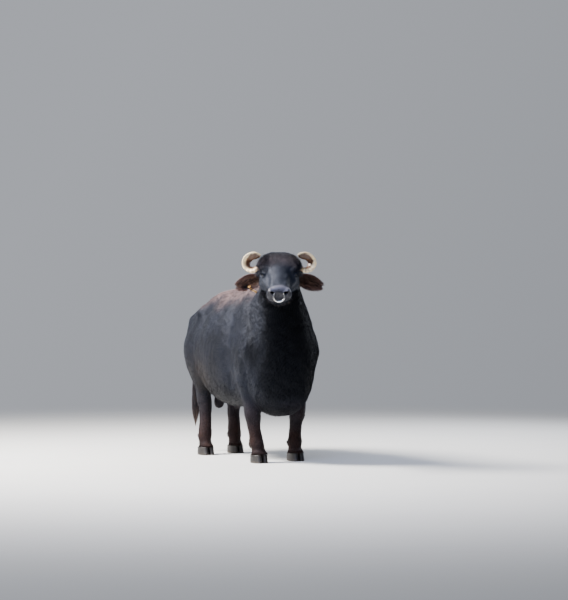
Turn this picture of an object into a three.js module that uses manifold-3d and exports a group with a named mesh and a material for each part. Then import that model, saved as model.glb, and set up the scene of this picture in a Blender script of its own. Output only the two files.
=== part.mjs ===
// A water buffalo bull at life size, standing square with its head turned to its right.
// Millimetres, +Z up. The spine lies along Y and the bull faces -Y, so its left side is at +X.
// The hoof soles rest on Z = 0, and the origin is under the middle of the whole animal.

import * as THREE from "three";
import { mergeVertices } from "three/addons/utils/BufferGeometryUtils.js";
import Module from "manifold-3d";

const wasm = await Module();
wasm.setup();

// Driving dimensions
const WITHERS = 1440; // height of the withers
const HALF_GIRTH = 385; // half the width of the paunch
const RUMP_Y = 785; // how far the buttocks lie behind the middle of the back
const BRISKET_Z = 375; // the lowest point of the chest
const HEAD_TURN = 27.5; // degrees, to its right
const HEAD_PITCH = 26; // degrees, nose down
const HEAD_LENGTH = 512; // poll to muzzle
const POLL = { x: -170, y: -930, z: 1558 }; // the middle of the skull under the poll
const GAP = 0.3; // between pieces that touch
const CORONET = 66; // where the hooves part from the legs

const RAD = Math.PI / 180;
const vec = (x, y, z) => new THREE.Vector3(x, y, z);
const mix = THREE.MathUtils.lerp;

// A fixed sequence of random numbers from 0 to 1, so that every build gives the same bull.
function randomFrom(seed) {
  let state = seed;
  return () => {
    state = (state * 1664525 + 1013904223) % 4294967296;
    return state / 4294967296;
  };
}

// Solids

function solidOf(geometry) {
  const bare = new THREE.BufferGeometry();
  bare.setAttribute("position", geometry.getAttribute("position").clone());
  if (geometry.index) bare.setIndex(geometry.index.clone());
  const merged = mergeVertices(bare, 1e-3);
  const position = merged.getAttribute("position");
  const triVerts = new Uint32Array(merged.index.array);
  const [a, b, c] = [vec(), vec(), vec()];
  let volume = 0;
  for (let i = 0; i < triVerts.length; i += 3) {
    a.fromBufferAttribute(position, triVerts[i]);
    b.fromBufferAttribute(position, triVerts[i + 1]);
    c.fromBufferAttribute(position, triVerts[i + 2]);
    volume += a.dot(b.cross(c));
  }
  if (volume < 0)
    for (let i = 0; i < triVerts.length; i += 3) {
      const kept = triVerts[i + 1];
      triVerts[i + 1] = triVerts[i + 2];
      triVerts[i + 2] = kept;
    }
  return new wasm.Manifold(
    new wasm.Mesh({
      numProp: 3,
      vertProperties: new Float32Array(position.array),
      triVerts,
    }),
  );
}

// The solid without loose scraps: only its largest body.
function largest(solid) {
  const bodies = solid.decompose();
  return bodies.reduce((most, body) =>
    body.volume() > most.volume() ? body : most,
  );
}

function geometryOf(solid) {
  const mesh = solid.getMesh();
  const geometry = new THREE.BufferGeometry();
  const stride = mesh.numProp;
  const count = mesh.vertProperties.length / stride;
  const position = new Float32Array(count * 3);
  for (let i = 0; i < count; i += 1)
    for (let k = 0; k < 3; k += 1)
      position[i * 3 + k] = mesh.vertProperties[i * stride + k];
  geometry.setAttribute("position", new THREE.BufferAttribute(position, 3));
  geometry.setIndex(Array.from(mesh.triVerts));
  geometry.computeVertexNormals();
  return geometry;
}

// A closed skin over rings that have the same number of points, with flat ends.
function loft(rings) {
  const sides = rings[0].length;
  const points = rings.flat();
  const faces = [];
  for (let r = 0; r + 1 < rings.length; r += 1)
    for (let i = 0; i < sides; i += 1) {
      const a = r * sides + i;
      const b = r * sides + ((i + 1) % sides);
      const [c, d] = [a + sides, b + sides];
      const firstIsShort =
        points[a].distanceTo(points[d]) < points[b].distanceTo(points[c]);
      if (firstIsShort) faces.push(a, b, d, a, d, c);
      else faces.push(a, b, c, b, d, c);
    }
  const last = (rings.length - 1) * sides;
  const middle = (ring) =>
    ring
      .reduce((sum, p) => sum.add(p), vec(0, 0, 0))
      .divideScalar(ring.length);
  points.push(middle(rings[0]), middle(rings[rings.length - 1]));
  for (let i = 0; i < sides; i += 1) {
    const next = (i + 1) % sides;
    faces.push(next, i, points.length - 2);
    faces.push(last + i, last + next, points.length - 1);
  }
  const geometry = new THREE.BufferGeometry().setFromPoints(points);
  geometry.setIndex(faces);
  return solidOf(geometry);
}

// Stations along a body part are blended smoothly: each key follows a curve through its values.
function alongStations(stations, keys) {
  const curves = [];
  for (let k = 0; k < keys.length; k += 3) {
    const triple = keys.slice(k, k + 3);
    curves.push({
      triple,
      curve: new THREE.CatmullRomCurve3(
        stations.map((s) => vec(...[0, 1, 2].map((i) => s[triple[i]] ?? 0))),
        false,
        "catmullrom",
        0.5,
      ),
    });
  }
  return (t) => {
    const found = {};
    for (const { triple, curve } of curves) {
      const p = curve.getPoint(t);
      triple.forEach((key, i) => {
        found[key] = p.getComponent(i);
      });
    }
    return found;
  };
}

// A point of a rounded section: half wide, rise up and drop down from its widest level.
function onSection(angle, s) {
  const [c, n] = [Math.cos(angle), Math.sin(angle)];
  const power = n > 0 ? s.peak : s.keel;
  const wide = Math.sign(c) * Math.abs(c) ** (2 / power) * s.half;
  const high = Math.sign(n) * Math.abs(n) ** (2 / power);
  return { wide, high: high * (n > 0 ? s.rise : s.drop) };
}

// Bumps and hollows raise the skin round a point by a height that fades with distance.
function swell(point, outward, bumps) {
  const moved = point.clone();
  for (const bump of bumps) {
    const [sx, sy, sz] = bump.spread;
    const far =
      ((point.x - bump.at[0]) / sx) ** 2 +
      ((point.y - bump.at[1]) / sy) ** 2 +
      ((point.z - bump.at[2]) / sz) ** 2;
    if (far < 6) moved.addScaledVector(outward, bump.by * Math.exp(-far));
  }
  return moved;
}

const bothSides = (bumps) =>
  bumps.flatMap((b) => [b, { ...b, at: [-b.at[0], b.at[1], b.at[2]] }]);

// The trunk and the neck
// Each station is a slice: its middle, its half width, how far it rises and drops, and how the slice
// leans back (tilt) and turns to the right (turn) where the neck begins.

const TRUNK_SIDES = 26;
const JOINT_TILT = 8; // the slice where the neck meets the skull leans back

const headForward = vec(
  -Math.sin(HEAD_TURN * RAD),
  -Math.cos(HEAD_TURN * RAD),
  0,
);
const headSide = vec(Math.cos(HEAD_TURN * RAD), -Math.sin(HEAD_TURN * RAD), 0);
const headAxis = headForward
  .clone()
  .multiplyScalar(Math.cos(HEAD_PITCH * RAD))
  .setZ(-Math.sin(HEAD_PITCH * RAD));
const headUp = headForward
  .clone()
  .multiplyScalar(Math.sin(HEAD_PITCH * RAD))
  .setZ(Math.cos(HEAD_PITCH * RAD));

// A point of the head: along it from the poll, up from its middle line, and to its left.
const onHead = (along, up, side) =>
  vec(POLL.x, POLL.y, POLL.z)
    .addScaledVector(headAxis, along)
    .addScaledVector(headUp, up)
    .addScaledVector(headSide, side);

const nape = onHead(10, -52, 0);
const NAPE = { half: 138, rise: 152, drop: 150, peak: 2.5, keel: 2.2 }; // the slice there

const trunkStations = [
  { x: 0, y: RUMP_Y, z: 1060, half: 90, rise: 95, drop: 130, peak: 2 },
  { x: 0, y: RUMP_Y - 45, z: 1050, half: 170, rise: 172, drop: 310, peak: 1.7 },
  { x: 0, y: RUMP_Y - 125, z: 1030, half: 224, rise: 240, drop: 400, peak: 1.45 },
  { x: 0, y: RUMP_Y - 260, z: 995, half: 256, rise: 330, drop: 420, peak: 1.55 },
  { x: 0, y: 350, z: 950, half: 298, rise: 412, drop: 450, peak: 1.7 },
  { x: 0, y: 170, z: 900, half: 348, rise: 480, drop: 465, peak: 1.85 },
  { x: 0, y: -20, z: 880, half: HALF_GIRTH, rise: 512, drop: 455 },
  { x: 0, y: -210, z: 880, half: 376, rise: 522, drop: 460 },
  { x: 0, y: -390, z: 890, half: 335, rise: WITHERS - 898, drop: 480, tilt: 3 },
  { x: -4, y: -535, z: 912, half: 318, rise: 520, drop: 912 - BRISKET_Z, tilt: 8 },
  { x: -18, y: -640, z: 985, half: 300, rise: 462, drop: 562, tilt: 15, turn: 5 },
  { x: -45, y: -722, z: 1085, half: 256, rise: 386, drop: 470, tilt: 22, turn: 11 },
  { x: -86, y: -796, z: 1212, half: 202, rise: 326, drop: 335, tilt: 27, turn: 18 },
  { x: -126, y: -860, z: 1352, half: 162, rise: 248, drop: 226, tilt: 25, turn: 24 },
  { x: nape.x, y: nape.y, z: nape.z, tilt: JOINT_TILT, turn: HEAD_TURN, ...NAPE },
].map((s) => ({ tilt: 0, turn: 0, peak: 1.95, keel: 2.35, ...s }));

const trunkBumps = bothSides([
  { at: [225, 400, 1185], spread: [80, 70, 70], by: 26 }, // hip bone
  { at: [262, 255, 1150], spread: [120, 95, 90], by: -26 }, // hollow of the flank
  { at: [150, 730, 1130], spread: [70, 60, 70], by: 14 }, // pin bone
  { at: [270, 520, 880], spread: [120, 150, 180], by: 8 }, // thigh
  { at: [300, -640, 930], spread: [110, 90, 150], by: 28 }, // point of the shoulder
  { at: [290, -370, 820], spread: [110, 70, 240], by: -16 }, // behind the elbow
]).concat([
  { at: [0, -640, 500], spread: [130, 170, 130], by: 24 }, // brisket
  { at: [0, 190, 440], spread: [60, 130, 60], by: 24 }, // sheath
]);

const trunkAt = alongStations(trunkStations, [
  ...["x", "y", "z", "half", "rise", "drop"],
  ...["tilt", "turn", "peak", "keel"],
]);

function trunkRing(t) {
  const s = trunkAt(t);
  const [tilt, turn] = [s.tilt * RAD, s.turn * RAD];
  const forward = vec(-Math.sin(turn), -Math.cos(turn), 0);
  const side = vec(Math.cos(turn), -Math.sin(turn), 0);
  const up = forward
    .clone()
    .multiplyScalar(-Math.sin(tilt))
    .setZ(Math.cos(tilt));
  const middle = vec(s.x, s.y, s.z);
  const ring = [];
  for (let i = 0; i < TRUNK_SIDES; i += 1) {
    const { wide, high } = onSection((i / TRUNK_SIDES) * 2 * Math.PI, s);
    const point = middle
      .clone()
      .addScaledVector(side, wide)
      .addScaledVector(up, high);
    const outward = point.clone().sub(middle).normalize();
    ring.push(swell(point, outward, trunkBumps));
  }
  return ring;
}

const lastStation = trunkStations.length - 1;
const NECK_STATION = 11; // the trunk ends and the neck begins at this slice
const trunkRings = [];
const neckRings = [];
for (let i = 0; i <= NECK_STATION * 2; i += 1)
  trunkRings.push(trunkRing(i / 2 / lastStation));
for (let i = NECK_STATION * 3; i <= lastStation * 3; i += 1)
  neckRings.push(trunkRing(i / 3 / lastStation));

// Moves a flat end of a loft back along its own normal, which leaves the gap to its neighbour.
function drawBack(ring, towards) {
  const normal = new THREE.Plane().setFromCoplanarPoints(
    ring[0],
    ring[Math.floor(ring.length / 3)],
    ring[Math.floor((2 * ring.length) / 3)],
  ).normal;
  if (normal.dot(towards) < 0) normal.negate();
  ring.forEach((p) => p.addScaledVector(normal, GAP));
}

// The legs
// Each station of a leg is a level slice: its height, its middle, and its half sizes across (half)
// and along the body (deep). The feet are set apart from the plain stance by a step.

const LEG_SIDES = 14;

const foreStations = [
  { z: 1250, x: 120, y: -480, half: 55, deep: 58 },
  { z: 1160, x: 168, y: -500, half: 86, deep: 112 },
  { z: 1040, x: 205, y: -540, half: 104, deep: 160 },
  { z: 900, x: 228, y: -560, half: 112, deep: 178 },
  { z: 770, x: 236, y: -532, half: 106, deep: 164 },
  { z: 670, x: 236, y: -505, half: 96, deep: 132 },
  { z: 570, x: 228, y: -498, half: 80, deep: 100 },
  { z: 480, x: 219, y: -500, half: 67, deep: 78 },
  { z: 415, x: 213, y: -505, half: 65, deep: 70 },
  { z: 365, x: 211, y: -505, half: 64, deep: 67 },
  { z: 300, x: 209, y: -498, half: 54, deep: 55 },
  { z: 220, x: 207, y: -497, half: 52, deep: 53 },
  { z: 160, x: 206, y: -503, half: 58, deep: 62 },
  { z: 112, x: 205, y: -516, half: 54, deep: 57 },
  { z: 84, x: 204, y: -527, half: 61, deep: 64 },
  { z: CORONET, x: 204, y: -531, half: 65, deep: 68 },
];

const hindStations = [
  { z: 1150, x: 100, y: 490, half: 50, deep: 95 },
  { z: 1080, x: 142, y: 500, half: 80, deep: 170 },
  { z: 970, x: 176, y: 502, half: 98, deep: 226 },
  { z: 850, x: 190, y: 492, half: 104, deep: 230 },
  { z: 740, x: 190, y: 488, half: 95, deep: 198 },
  { z: 640, x: 187, y: 508, half: 79, deep: 142 },
  { z: 560, x: 178, y: 534, half: 65, deep: 98 },
  { z: 500, x: 172, y: 550, half: 60, deep: 83 },
  { z: 445, x: 167, y: 545, half: 59, deep: 73 },
  { z: 380, x: 163, y: 532, half: 54, deep: 59 },
  { z: 280, x: 160, y: 515, half: 51, deep: 53 },
  { z: 172, x: 158, y: 500, half: 57, deep: 60 },
  { z: 118, x: 157, y: 488, half: 53, deep: 56 },
  { z: 84, x: 156, y: 476, half: 59, deep: 62 },
  { z: CORONET, x: 156, y: 472, half: 62, deep: 66 },
];

// The photo's stance: which side, which leg, and how far its knee or hock and its foot are set
// outward and forward of the plain stance.
const legs = [
  { name: "fore_left", side: 1, stations: foreStations, joint: [4, -4], foot: [-14, -8] },
  { name: "fore_right", side: -1, stations: foreStations, joint: [-12, 14], foot: [-34, 52] },
  { name: "hind_left", side: 1, stations: hindStations, joint: [-6, -10], foot: [-6, -20] },
  { name: "hind_right", side: -1, stations: hindStations, joint: [-24, 58], foot: [10, 62] },
];

const [HIP, JOINT, FOOT] = [880, 430, CORONET]; // the heights between which the step is blended

function legMiddle(leg, s) {
  const below = THREE.MathUtils.smoothstep(HIP - s.z, 0, HIP - JOINT);
  const low = THREE.MathUtils.smoothstep(JOINT - s.z, 0, JOINT - FOOT);
  const [out, forward] = [0, 1].map((i) => mix(leg.joint[i] * below, leg.foot[i], low));
  return vec(leg.side * (s.x + out), s.y - forward, s.z);
}

function legSolid(leg) {
  const at = alongStations(leg.stations, ["x", "y", "z", "half", "deep"]);
  const count = Math.round((leg.stations.length - 1) * 1.3);
  const rings = [];
  for (let i = 0; i <= count; i += 1) {
    const s = at(i / count);
    const middle = legMiddle(leg, s);
    const ring = [];
    for (let k = 0; k < LEG_SIDES; k += 1) {
      const angle = (k / LEG_SIDES) * 2 * Math.PI;
      ring.push(
        middle
          .clone()
          .add(vec(s.half * Math.cos(angle), s.deep * Math.sin(angle), 0)),
      );
    }
    rings.push(ring);
  }
  return loft(rings);
}

// The block that parts a leg from the trunk: its top slopes from the armpit up to the elbow.
const foreCut = { inner: 108, low: 436, outer: 420, high: 735, from: -705, to: -362 };
const hindCut = { inner: 66, low: 610, outer: 420, high: 800, from: 322, to: 760 };
function legBlock(leg, grow) {
  const cut = leg.stations === foreStations ? foreCut : hindCut;
  const outline = new THREE.Shape();
  outline.moveTo(leg.side * cut.inner, cut.low + grow);
  outline.lineTo(leg.side * cut.outer, cut.high + grow);
  outline.lineTo(leg.side * cut.outer, -100);
  outline.lineTo(leg.side * cut.inner, -100);
  outline.closePath();
  const block = new THREE.ExtrudeGeometry(outline, {
    depth: cut.to - cut.from,
    bevelEnabled: false,
  });
  block.rotateX(90 * RAD);
  block.translate(0, cut.to, 0);
  return solidOf(block);
}

// The hooves: two claws to a foot, and two small dewclaws behind the fetlock

const CLAW = {
  length: 132,
  width: 62,
  height: CORONET - GAP,
  split: 7,
  sides: 12,
  toe: 0.64, // reach of the toe and the heel on the ground, as shares of the length
  heel: 0.45,
  top: 0.49,
};

function clawSolid(leg, which) {
  const foot = legMiddle(leg, leg.stations[leg.stations.length - 1]);
  const rings = [];
  for (let i = 0; i <= 3; i += 1) {
    const t = i / 3;
    const back = CLAW.length * mix(CLAW.heel, CLAW.top, t);
    const front = CLAW.length * mix(CLAW.toe, CLAW.top, t);
    const wide = CLAW.width * mix(1, 0.94, t) - (i ? 0 : 3);
    const ring = [];
    for (let k = 0; k < CLAW.sides; k += 1) {
      const angle = (k / CLAW.sides) * 2 * Math.PI;
      const [c, n] = [Math.cos(angle), Math.sin(angle)];
      const across = (wide / 2) * (1 + Math.sign(c) * Math.abs(c) ** 0.8);
      const inward = n < 0 ? n * n * 10 : 0; // the toes bend towards each other
      ring.push(
        vec(
          foot.x + which * (CLAW.split / 2 + Math.max(across - inward, 0)),
          foot.y + n * (n > 0 ? back : front) + 4,
          t * CLAW.height,
        ),
      );
    }
    rings.push(ring);
  }
  return loft(rings);
}

const DEWCLAW = { width: 17, height: 26, lean: 24 };

function dewclawSolid(leg, which, grow) {
  const fetlock = leg.stations[leg.stations.length - 4];
  const foot = legMiddle(leg, fetlock);
  const geometry = new THREE.SphereGeometry(1, 7, 5);
  geometry.scale(DEWCLAW.width + grow, DEWCLAW.width + grow, DEWCLAW.height + grow);
  geometry.rotateX(-DEWCLAW.lean * RAD);
  geometry.translate(
    foot.x + which * fetlock.half * 0.5,
    foot.y + fetlock.deep * 0.86,
    fetlock.z - 24,
  );
  return solidOf(geometry);
}

// The head
// Its stations run from the poll to the muzzle, in the head's own frame.

const HEAD_SIDES = 28;

const headStations = [
  { along: 10, up: -52, lean: -HEAD_PITCH - JOINT_TILT, ...NAPE },
  { along: 54, up: -40, half: 156, rise: 176, drop: 142, lean: -20, peak: 3.1 },
  { along: 110, up: -26, half: 152, rise: 162, drop: 136, lean: -9, peak: 3.1 },
  { along: 174, up: -16, half: 134, rise: 140, drop: 124, lean: -2, peak: 2.7 },
  { along: 236, up: -6, half: 114, rise: 114, drop: 114 },
  { along: 306, up: 2, half: 92, rise: 92, drop: 104 },
  { along: 376, up: 5, half: 80, rise: 76, drop: 96 },
  { along: 436, up: 2, half: 84, rise: 68, drop: 94 },
  { along: 480, up: 4, half: 89, rise: 60, drop: 80 },
  { along: HEAD_LENGTH - 8, up: 0, half: 70, rise: 44, drop: 50 },
  { along: HEAD_LENGTH, up: -2, half: 40, rise: 24, drop: 26 },
].map((s) => ({ lean: 0, peak: 2.3, keel: 2.2, ...s }));

// Bumps of the head: side, along and up in the head's own frame.
const headBumps = bothSides([
  { at: [116, 172, 66], spread: [46, 42, 36], by: 20 }, // brow over the eye
  { at: [120, 226, -6], spread: [40, 60, 28], by: 12 }, // cheekbone
  { at: [96, 262, 40], spread: [40, 50, 40], by: -9 }, // hollow before the eye
  { at: [120, 150, -92], spread: [50, 90, 60], by: 16 }, // jaw muscle
  { at: [70, 490, 26], spread: [26, 26, 30], by: 9 }, // wing of the nostril
  { at: [66, 470, -34], spread: [36, 44, 20], by: 7 }, // upper lip
]).concat([
  { at: [0, 96, 134], spread: [100, 80, 70], by: 10 }, // forehead
  { at: [0, 474, -84], spread: [50, 34, 34], by: 10 }, // chin
]);

const headAt = alongStations(headStations, [
  ...["along", "up", "half", "rise", "drop", "lean"],
  ...["peak", "keel"],
]);

// A point of the head's skin in the head's own frame (side, along, up), t of the way to the muzzle.
function headSkin(t, angle) {
  const s = headAt(t);
  const { wide, high } = onSection(angle, s);
  const lean = s.lean * RAD;
  const out = vec(wide, high * Math.sin(lean), high * Math.cos(lean));
  const local = out.clone().add(vec(0, s.along, s.up));
  return swell(local, out.normalize(), headBumps);
}

// Finds the value between two limits where a rising function reaches its goal.
function solve(rising, goal, low, high) {
  let [a, b] = [low, high];
  for (let i = 0; i < 30; i += 1) {
    const half = (a + b) / 2;
    if (rising(half) < goal) a = half;
    else b = half;
  }
  return a;
}

// The point of the skin on one side of the muzzle, from how far along the head and how high.
function muzzleSkin(along, up, side) {
  const t = solve((v) => headAt(v).along, along, 0, 1);
  const angle = solve((v) => headSkin(t, v).z, up, -Math.PI / 2, Math.PI / 2);
  const found = headSkin(t, angle);
  found.x *= side;
  return found;
}

const headPoint = (local) => onHead(local.y, local.z, local.x);

function headSolid() {
  const steps = 24;
  const rings = [];
  for (let i = 0; i <= steps; i += 1) {
    const ring = [];
    for (let k = 0; k < HEAD_SIDES; k += 1) {
      const angle = (k / HEAD_SIDES) * 2 * Math.PI;
      ring.push(headPoint(headSkin(i / steps, angle)));
    }
    rings.push(ring);
  }
  return loft(rings);
}

// Turns a geometry made round the origin, with x to the side, y along and z up, into its place.
function setOnHead(geometry, local) {
  const place = new THREE.Matrix4().makeBasis(headSide, headAxis, headUp);
  place.setPosition(headPoint(local));
  return solidOf(geometry.applyMatrix4(place));
}

// The eyes, with lids round an almond opening that looks outward and a little forward

const EYE = { along: 198, up: 34, side: 114, radius: 23, lid: 7, facing: 62 };
const OPENING = { half: 23, high: 13, depth: 60 };
const eyeAt = (side) => vec(side * EYE.side, EYE.along, EYE.up);

function eyeBall(side, radius) {
  return setOnHead(new THREE.SphereGeometry(radius, 12, 8), eyeAt(side));
}

function eyeOpening(side) {
  const almond = new THREE.Shape();
  almond.moveTo(-OPENING.half, 0);
  almond.quadraticCurveTo(0, OPENING.high * 2, OPENING.half, 0);
  almond.quadraticCurveTo(0, -OPENING.high * 1.8, -OPENING.half, 0);
  const geometry = new THREE.ExtrudeGeometry(almond, {
    depth: OPENING.depth,
    bevelEnabled: false,
    curveSegments: 5,
  });
  geometry.rotateX(-90 * RAD);
  geometry.rotateZ(-side * EYE.facing * RAD);
  return setOnHead(geometry, eyeAt(side));
}

// The nostrils: deep hollows in the upper corners of the muzzle

const NOSTRIL = { side: 51, along: 500, up: 24, half: 19, deep: 36, high: 12, slant: 38 };

function nostril(side) {
  const geometry = new THREE.SphereGeometry(1, 10, 7);
  geometry.scale(NOSTRIL.half, NOSTRIL.deep, NOSTRIL.high);
  geometry.rotateY(side * NOSTRIL.slant * RAD);
  geometry.rotateZ(-side * 14 * RAD);
  return setOnHead(geometry, vec(side * NOSTRIL.side, NOSTRIL.along, NOSTRIL.up));
}

// The line of the mouth: a groove from the corner on one side round the lips to the other

const MOUTH = { front: 507, corner: 396, up: -34, fall: 16, high: 2.2, deep: 7 };

function mouthGroove() {
  const steps = 20;
  const rings = [];
  for (let i = 0; i <= steps; i += 1) {
    const round = (i / steps) * 2 - 1;
    const back = Math.abs(round) ** 1.4;
    const along = mix(MOUTH.front, MOUTH.corner, back);
    const local = muzzleSkin(along, MOUTH.up - MOUTH.fall * back, Math.sign(round));
    if (round === 0) local.x = 0;
    const out = vec(local.x, Math.max(along - 440, 0), 0).normalize();
    const fade = mix(1, 0.45, back ** 3);
    const corners = [
      out.clone().multiplyScalar(MOUTH.deep * fade),
      vec(0, 0, MOUTH.high * fade),
      out.clone().multiplyScalar(-MOUTH.deep * fade),
      vec(0, 0, -MOUTH.high * fade),
    ];
    rings.push(corners.map((corner) => headPoint(corner.add(local))));
  }
  return loft(rings);
}

// Horns: flat and broad, each curled in one tight ring beside the poll. The broad face leans, so
// that the front rim stands on a wider circle than the back one, like the side of a bowl.

const HORN = {
  side: 212, // middle of the ring, to the side of the head's middle line
  z: 1592,
  forward: 52, // before the poll
  outer: 79, // radius of the ring's outline
  uncurl: 14, // how much wider the ring is at the tip
  thick: 22, // half the section, at the foot and at the tip
  tipThick: 5,
  broad: 50,
  tipBroad: 11,
  dip: 34, // how far the side of the ring stands back
  lean: [8, 46, 58], // degrees that the broad face leans outward: foot, side and top
  from: -126, // degrees round the ring, where it leaves the head
  to: 146,
  sides: 10,
  steps: 22,
};

function hornRing(t, side, grow) {
  const turn = mix(HORN.from, HORN.to, t) * RAD;
  const taper = (1 - t) ** 0.6;
  const growth = t > 0 && t < 0.5 && Math.round(t * HORN.steps) % 3 === 0 ? 1.05 : 1;
  const thick = mix(HORN.tipThick, HORN.thick, taper) * growth + grow;
  const broad = mix(HORN.tipBroad, HORN.broad, (1 - t) ** 0.14) + grow;
  const outward = mix(HORN.lean[0], HORN.lean[1], THREE.MathUtils.smoothstep(t, 0, 0.4));
  const flare = mix(outward, HORN.lean[2], THREE.MathUtils.smoothstep(t, 0.45, 0.8)) * RAD;
  const reach = Math.hypot(thick * Math.cos(flare), broad * Math.sin(flare)) - grow;
  const outline = HORN.outer + HORN.uncurl * THREE.MathUtils.smoothstep(t, 0.68, 1);
  const radius = outline - reach;
  const dip = -HORN.dip * Math.sin(Math.min(t * 1.2, 1) * Math.PI);
  const radial = headSide
    .clone()
    .multiplyScalar(side * Math.cos(turn))
    .add(vec(0, 0, Math.sin(turn)));
  const across = headForward
    .clone()
    .multiplyScalar(Math.cos(flare))
    .addScaledVector(radial, Math.sin(flare));
  const through = radial
    .clone()
    .multiplyScalar(Math.cos(flare))
    .addScaledVector(headForward, -Math.sin(flare));
  const middle = vec(POLL.x, POLL.y, HORN.z)
    .addScaledVector(headSide, side * HORN.side)
    .addScaledVector(headForward, HORN.forward + dip)
    .addScaledVector(radial, radius);
  const ring = [];
  for (let k = 0; k < HORN.sides; k += 1) {
    const angle = (k / HORN.sides) * 2 * Math.PI;
    ring.push(
      middle
        .clone()
        .addScaledVector(across, broad * Math.cos(angle))
        .addScaledVector(through, thick * Math.sin(angle)),
    );
  }
  return ring;
}

function hornSolid(side, grow) {
  const rings = [];
  for (let i = 4; i > 0; i -= 1) {
    const buried = hornRing(0, side, grow); // the core of the horn runs on into the skull
    rings.push(buried.map((p) => p.addScaledVector(headSide, -side * (i * 14 + grow))));
  }
  for (let i = 0; i <= HORN.steps; i += 1)
    rings.push(hornRing(i / HORN.steps, side, grow));
  return loft(rings);
}

// Ears: a deep cup on a short tube, opening forward

const EAR = {
  along: 40,
  up: -72,
  side: 104,
  length: 252,
  width: 56, // half the height of the cup at its widest
  depth: 40,
  wall: 6,
  droop: 13, // degrees below level
  back: 16, // degrees swept back
  sag: 14, // how much lower the tip hangs
};

function earFrame(side) {
  const outward = headSide
    .clone()
    .multiplyScalar(side * Math.cos(EAR.back * RAD))
    .addScaledVector(headForward, -Math.sin(EAR.back * RAD))
    .multiplyScalar(Math.cos(EAR.droop * RAD))
    .add(vec(0, 0, -Math.sin(EAR.droop * RAD)));
  const open = headForward
    .clone()
    .addScaledVector(outward, -headForward.dot(outward))
    .normalize();
  const wide = vec().crossVectors(outward, open).multiplyScalar(side);
  const root = headPoint(vec(side * EAR.side, EAR.along, EAR.up));
  return { outward, open, wide, root };
}

// The ear's section at a share of its length: its middle, half its height, its depth, and how far
// round the wall goes.
function earSection(t) {
  const swelling = Math.sin(Math.min(t * 1.5, 1) * 90 * RAD);
  const closing = Math.sqrt(Math.max(1 - Math.max(t - 0.42, 0) ** 2 / 0.34, 0.012));
  const half = mix(30, EAR.width, swelling) * closing;
  const depth = Math.min(mix(30, EAR.depth, swelling) * mix(1, 0.35, t ** 1.5), half);
  return { half, depth, reach: mix(150, 94, Math.min(t * 2.2, 1)) };
}

const EAR_ARC = 9;
const EAR_RINGS = 11;

function earRing(side, t, inset) {
  const { outward, open, wide, root } = earFrame(side);
  const { half, depth, reach } = earSection(t);
  const ring = [];
  for (let k = 0; k <= EAR_ARC; k += 1) {
    const angle = ((2 * k) / EAR_ARC - 1) * reach * RAD;
    ring.push(
      root
        .clone()
        .addScaledVector(outward, t * EAR.length)
        .addScaledVector(wide, (half - inset) * Math.sin(angle))
        .addScaledVector(open, -(depth - inset) * Math.cos(angle))
        .add(vec(0, 0, -EAR.sag * t * t)),
    );
  }
  return { ring, open, outward };
}

// The ear without its hollow, which is also the shape of its socket in the head.
function earBlank(side, grow) {
  const rings = [];
  for (let i = 0; i <= EAR_RINGS; i += 1) {
    const { ring, open, outward } = earRing(side, i / EAR_RINGS, -grow);
    const stretch = (i ? 1 : -1) * grow;
    ring.forEach((p) => p.addScaledVector(outward, stretch));
    ring[0].addScaledVector(open, grow);
    ring[EAR_ARC].addScaledVector(open, grow);
    rings.push(ring);
  }
  return loft(rings);
}

function earSolid(side) {
  const rings = [];
  for (let i = 2; i < EAR_RINGS; i += 1) {
    const t = i / EAR_RINGS;
    const wall = Math.min(EAR.wall * mix(1, 0.7, t), earSection(t).half * 0.35);
    const { ring, open } = earRing(side, t, wall);
    const rim = [ring[EAR_ARC], ring[0]].map((p) => p.clone().addScaledVector(open, 40));
    rings.push([...ring, ...rim]);
  }
  return earBlank(side, 0).subtract(loft(rings));
}

// The tail: a tapering rope to below the hocks, with a switch of long hair

const TAIL = { half: 34, end: 13, switchFrom: 0.66, tip: 205 };
const tailPath = new THREE.CatmullRomCurve3([
  vec(0, RUMP_Y - 120, 1205),
  vec(0, RUMP_Y - 40, 1205),
  vec(-14, RUMP_Y + 22, 1120),
  vec(-36, RUMP_Y + 42, 970),
  vec(-54, RUMP_Y + 44, 780),
  vec(-64, RUMP_Y + 40, 560),
  vec(-66, RUMP_Y + 38, 430),
]);

function tailSolid(grow) {
  const sides = 8;
  const steps = 18;
  const rings = [];
  for (let i = 0; i <= steps; i += 1) {
    const t = i / steps;
    const half = mix(TAIL.half, TAIL.end, t ** 0.6) * (i === steps ? 0.5 : 1) + grow;
    const side = vec(1, 0, 0);
    const through = vec().crossVectors(tailPath.getTangent(t), side).normalize();
    const ring = [];
    for (let k = 0; k < sides; k += 1) {
      const angle = (k / sides) * 2 * Math.PI;
      ring.push(
        tailPath
          .getPoint(t)
          .addScaledVector(tailPath.getTangent(t), i ? 0 : -grow)
          .addScaledVector(side, half * 1.1 * Math.cos(angle))
          .addScaledVector(through, half * Math.sin(angle)),
      );
    }
    rings.push(ring);
  }
  return loft(rings);
}

// Locks of hair: flat, tapered and pointed, four-sided, bent along the lie of the coat. The path
// runs from the sunk root to the tip, and the flat side faces out.
function lockSolid(path, out, width, thick) {
  const last = path.length - 1;
  const rings = path.map((middle, i) => {
    const t = i / last;
    const ahead = path[Math.min(i + 1, last)]
      .clone()
      .sub(path[Math.max(i - 1, 0)])
      .normalize();
    const across = vec().crossVectors(ahead, out).normalize();
    const through = vec().crossVectors(across, ahead);
    const taper = Math.max(Math.sin(Math.min(0.25 + t, 1) * 90 * RAD) * (1 - t ** 2), 0.07);
    return [
      middle.clone().addScaledVector(across, (width / 2) * taper),
      middle.clone().addScaledVector(through, (thick / 2) * taper),
      middle.clone().addScaledVector(across, (-width / 2) * taper),
      middle.clone().addScaledVector(through, (-thick / 2) * taper),
    ];
  });
  return loft(rings);
}

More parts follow.
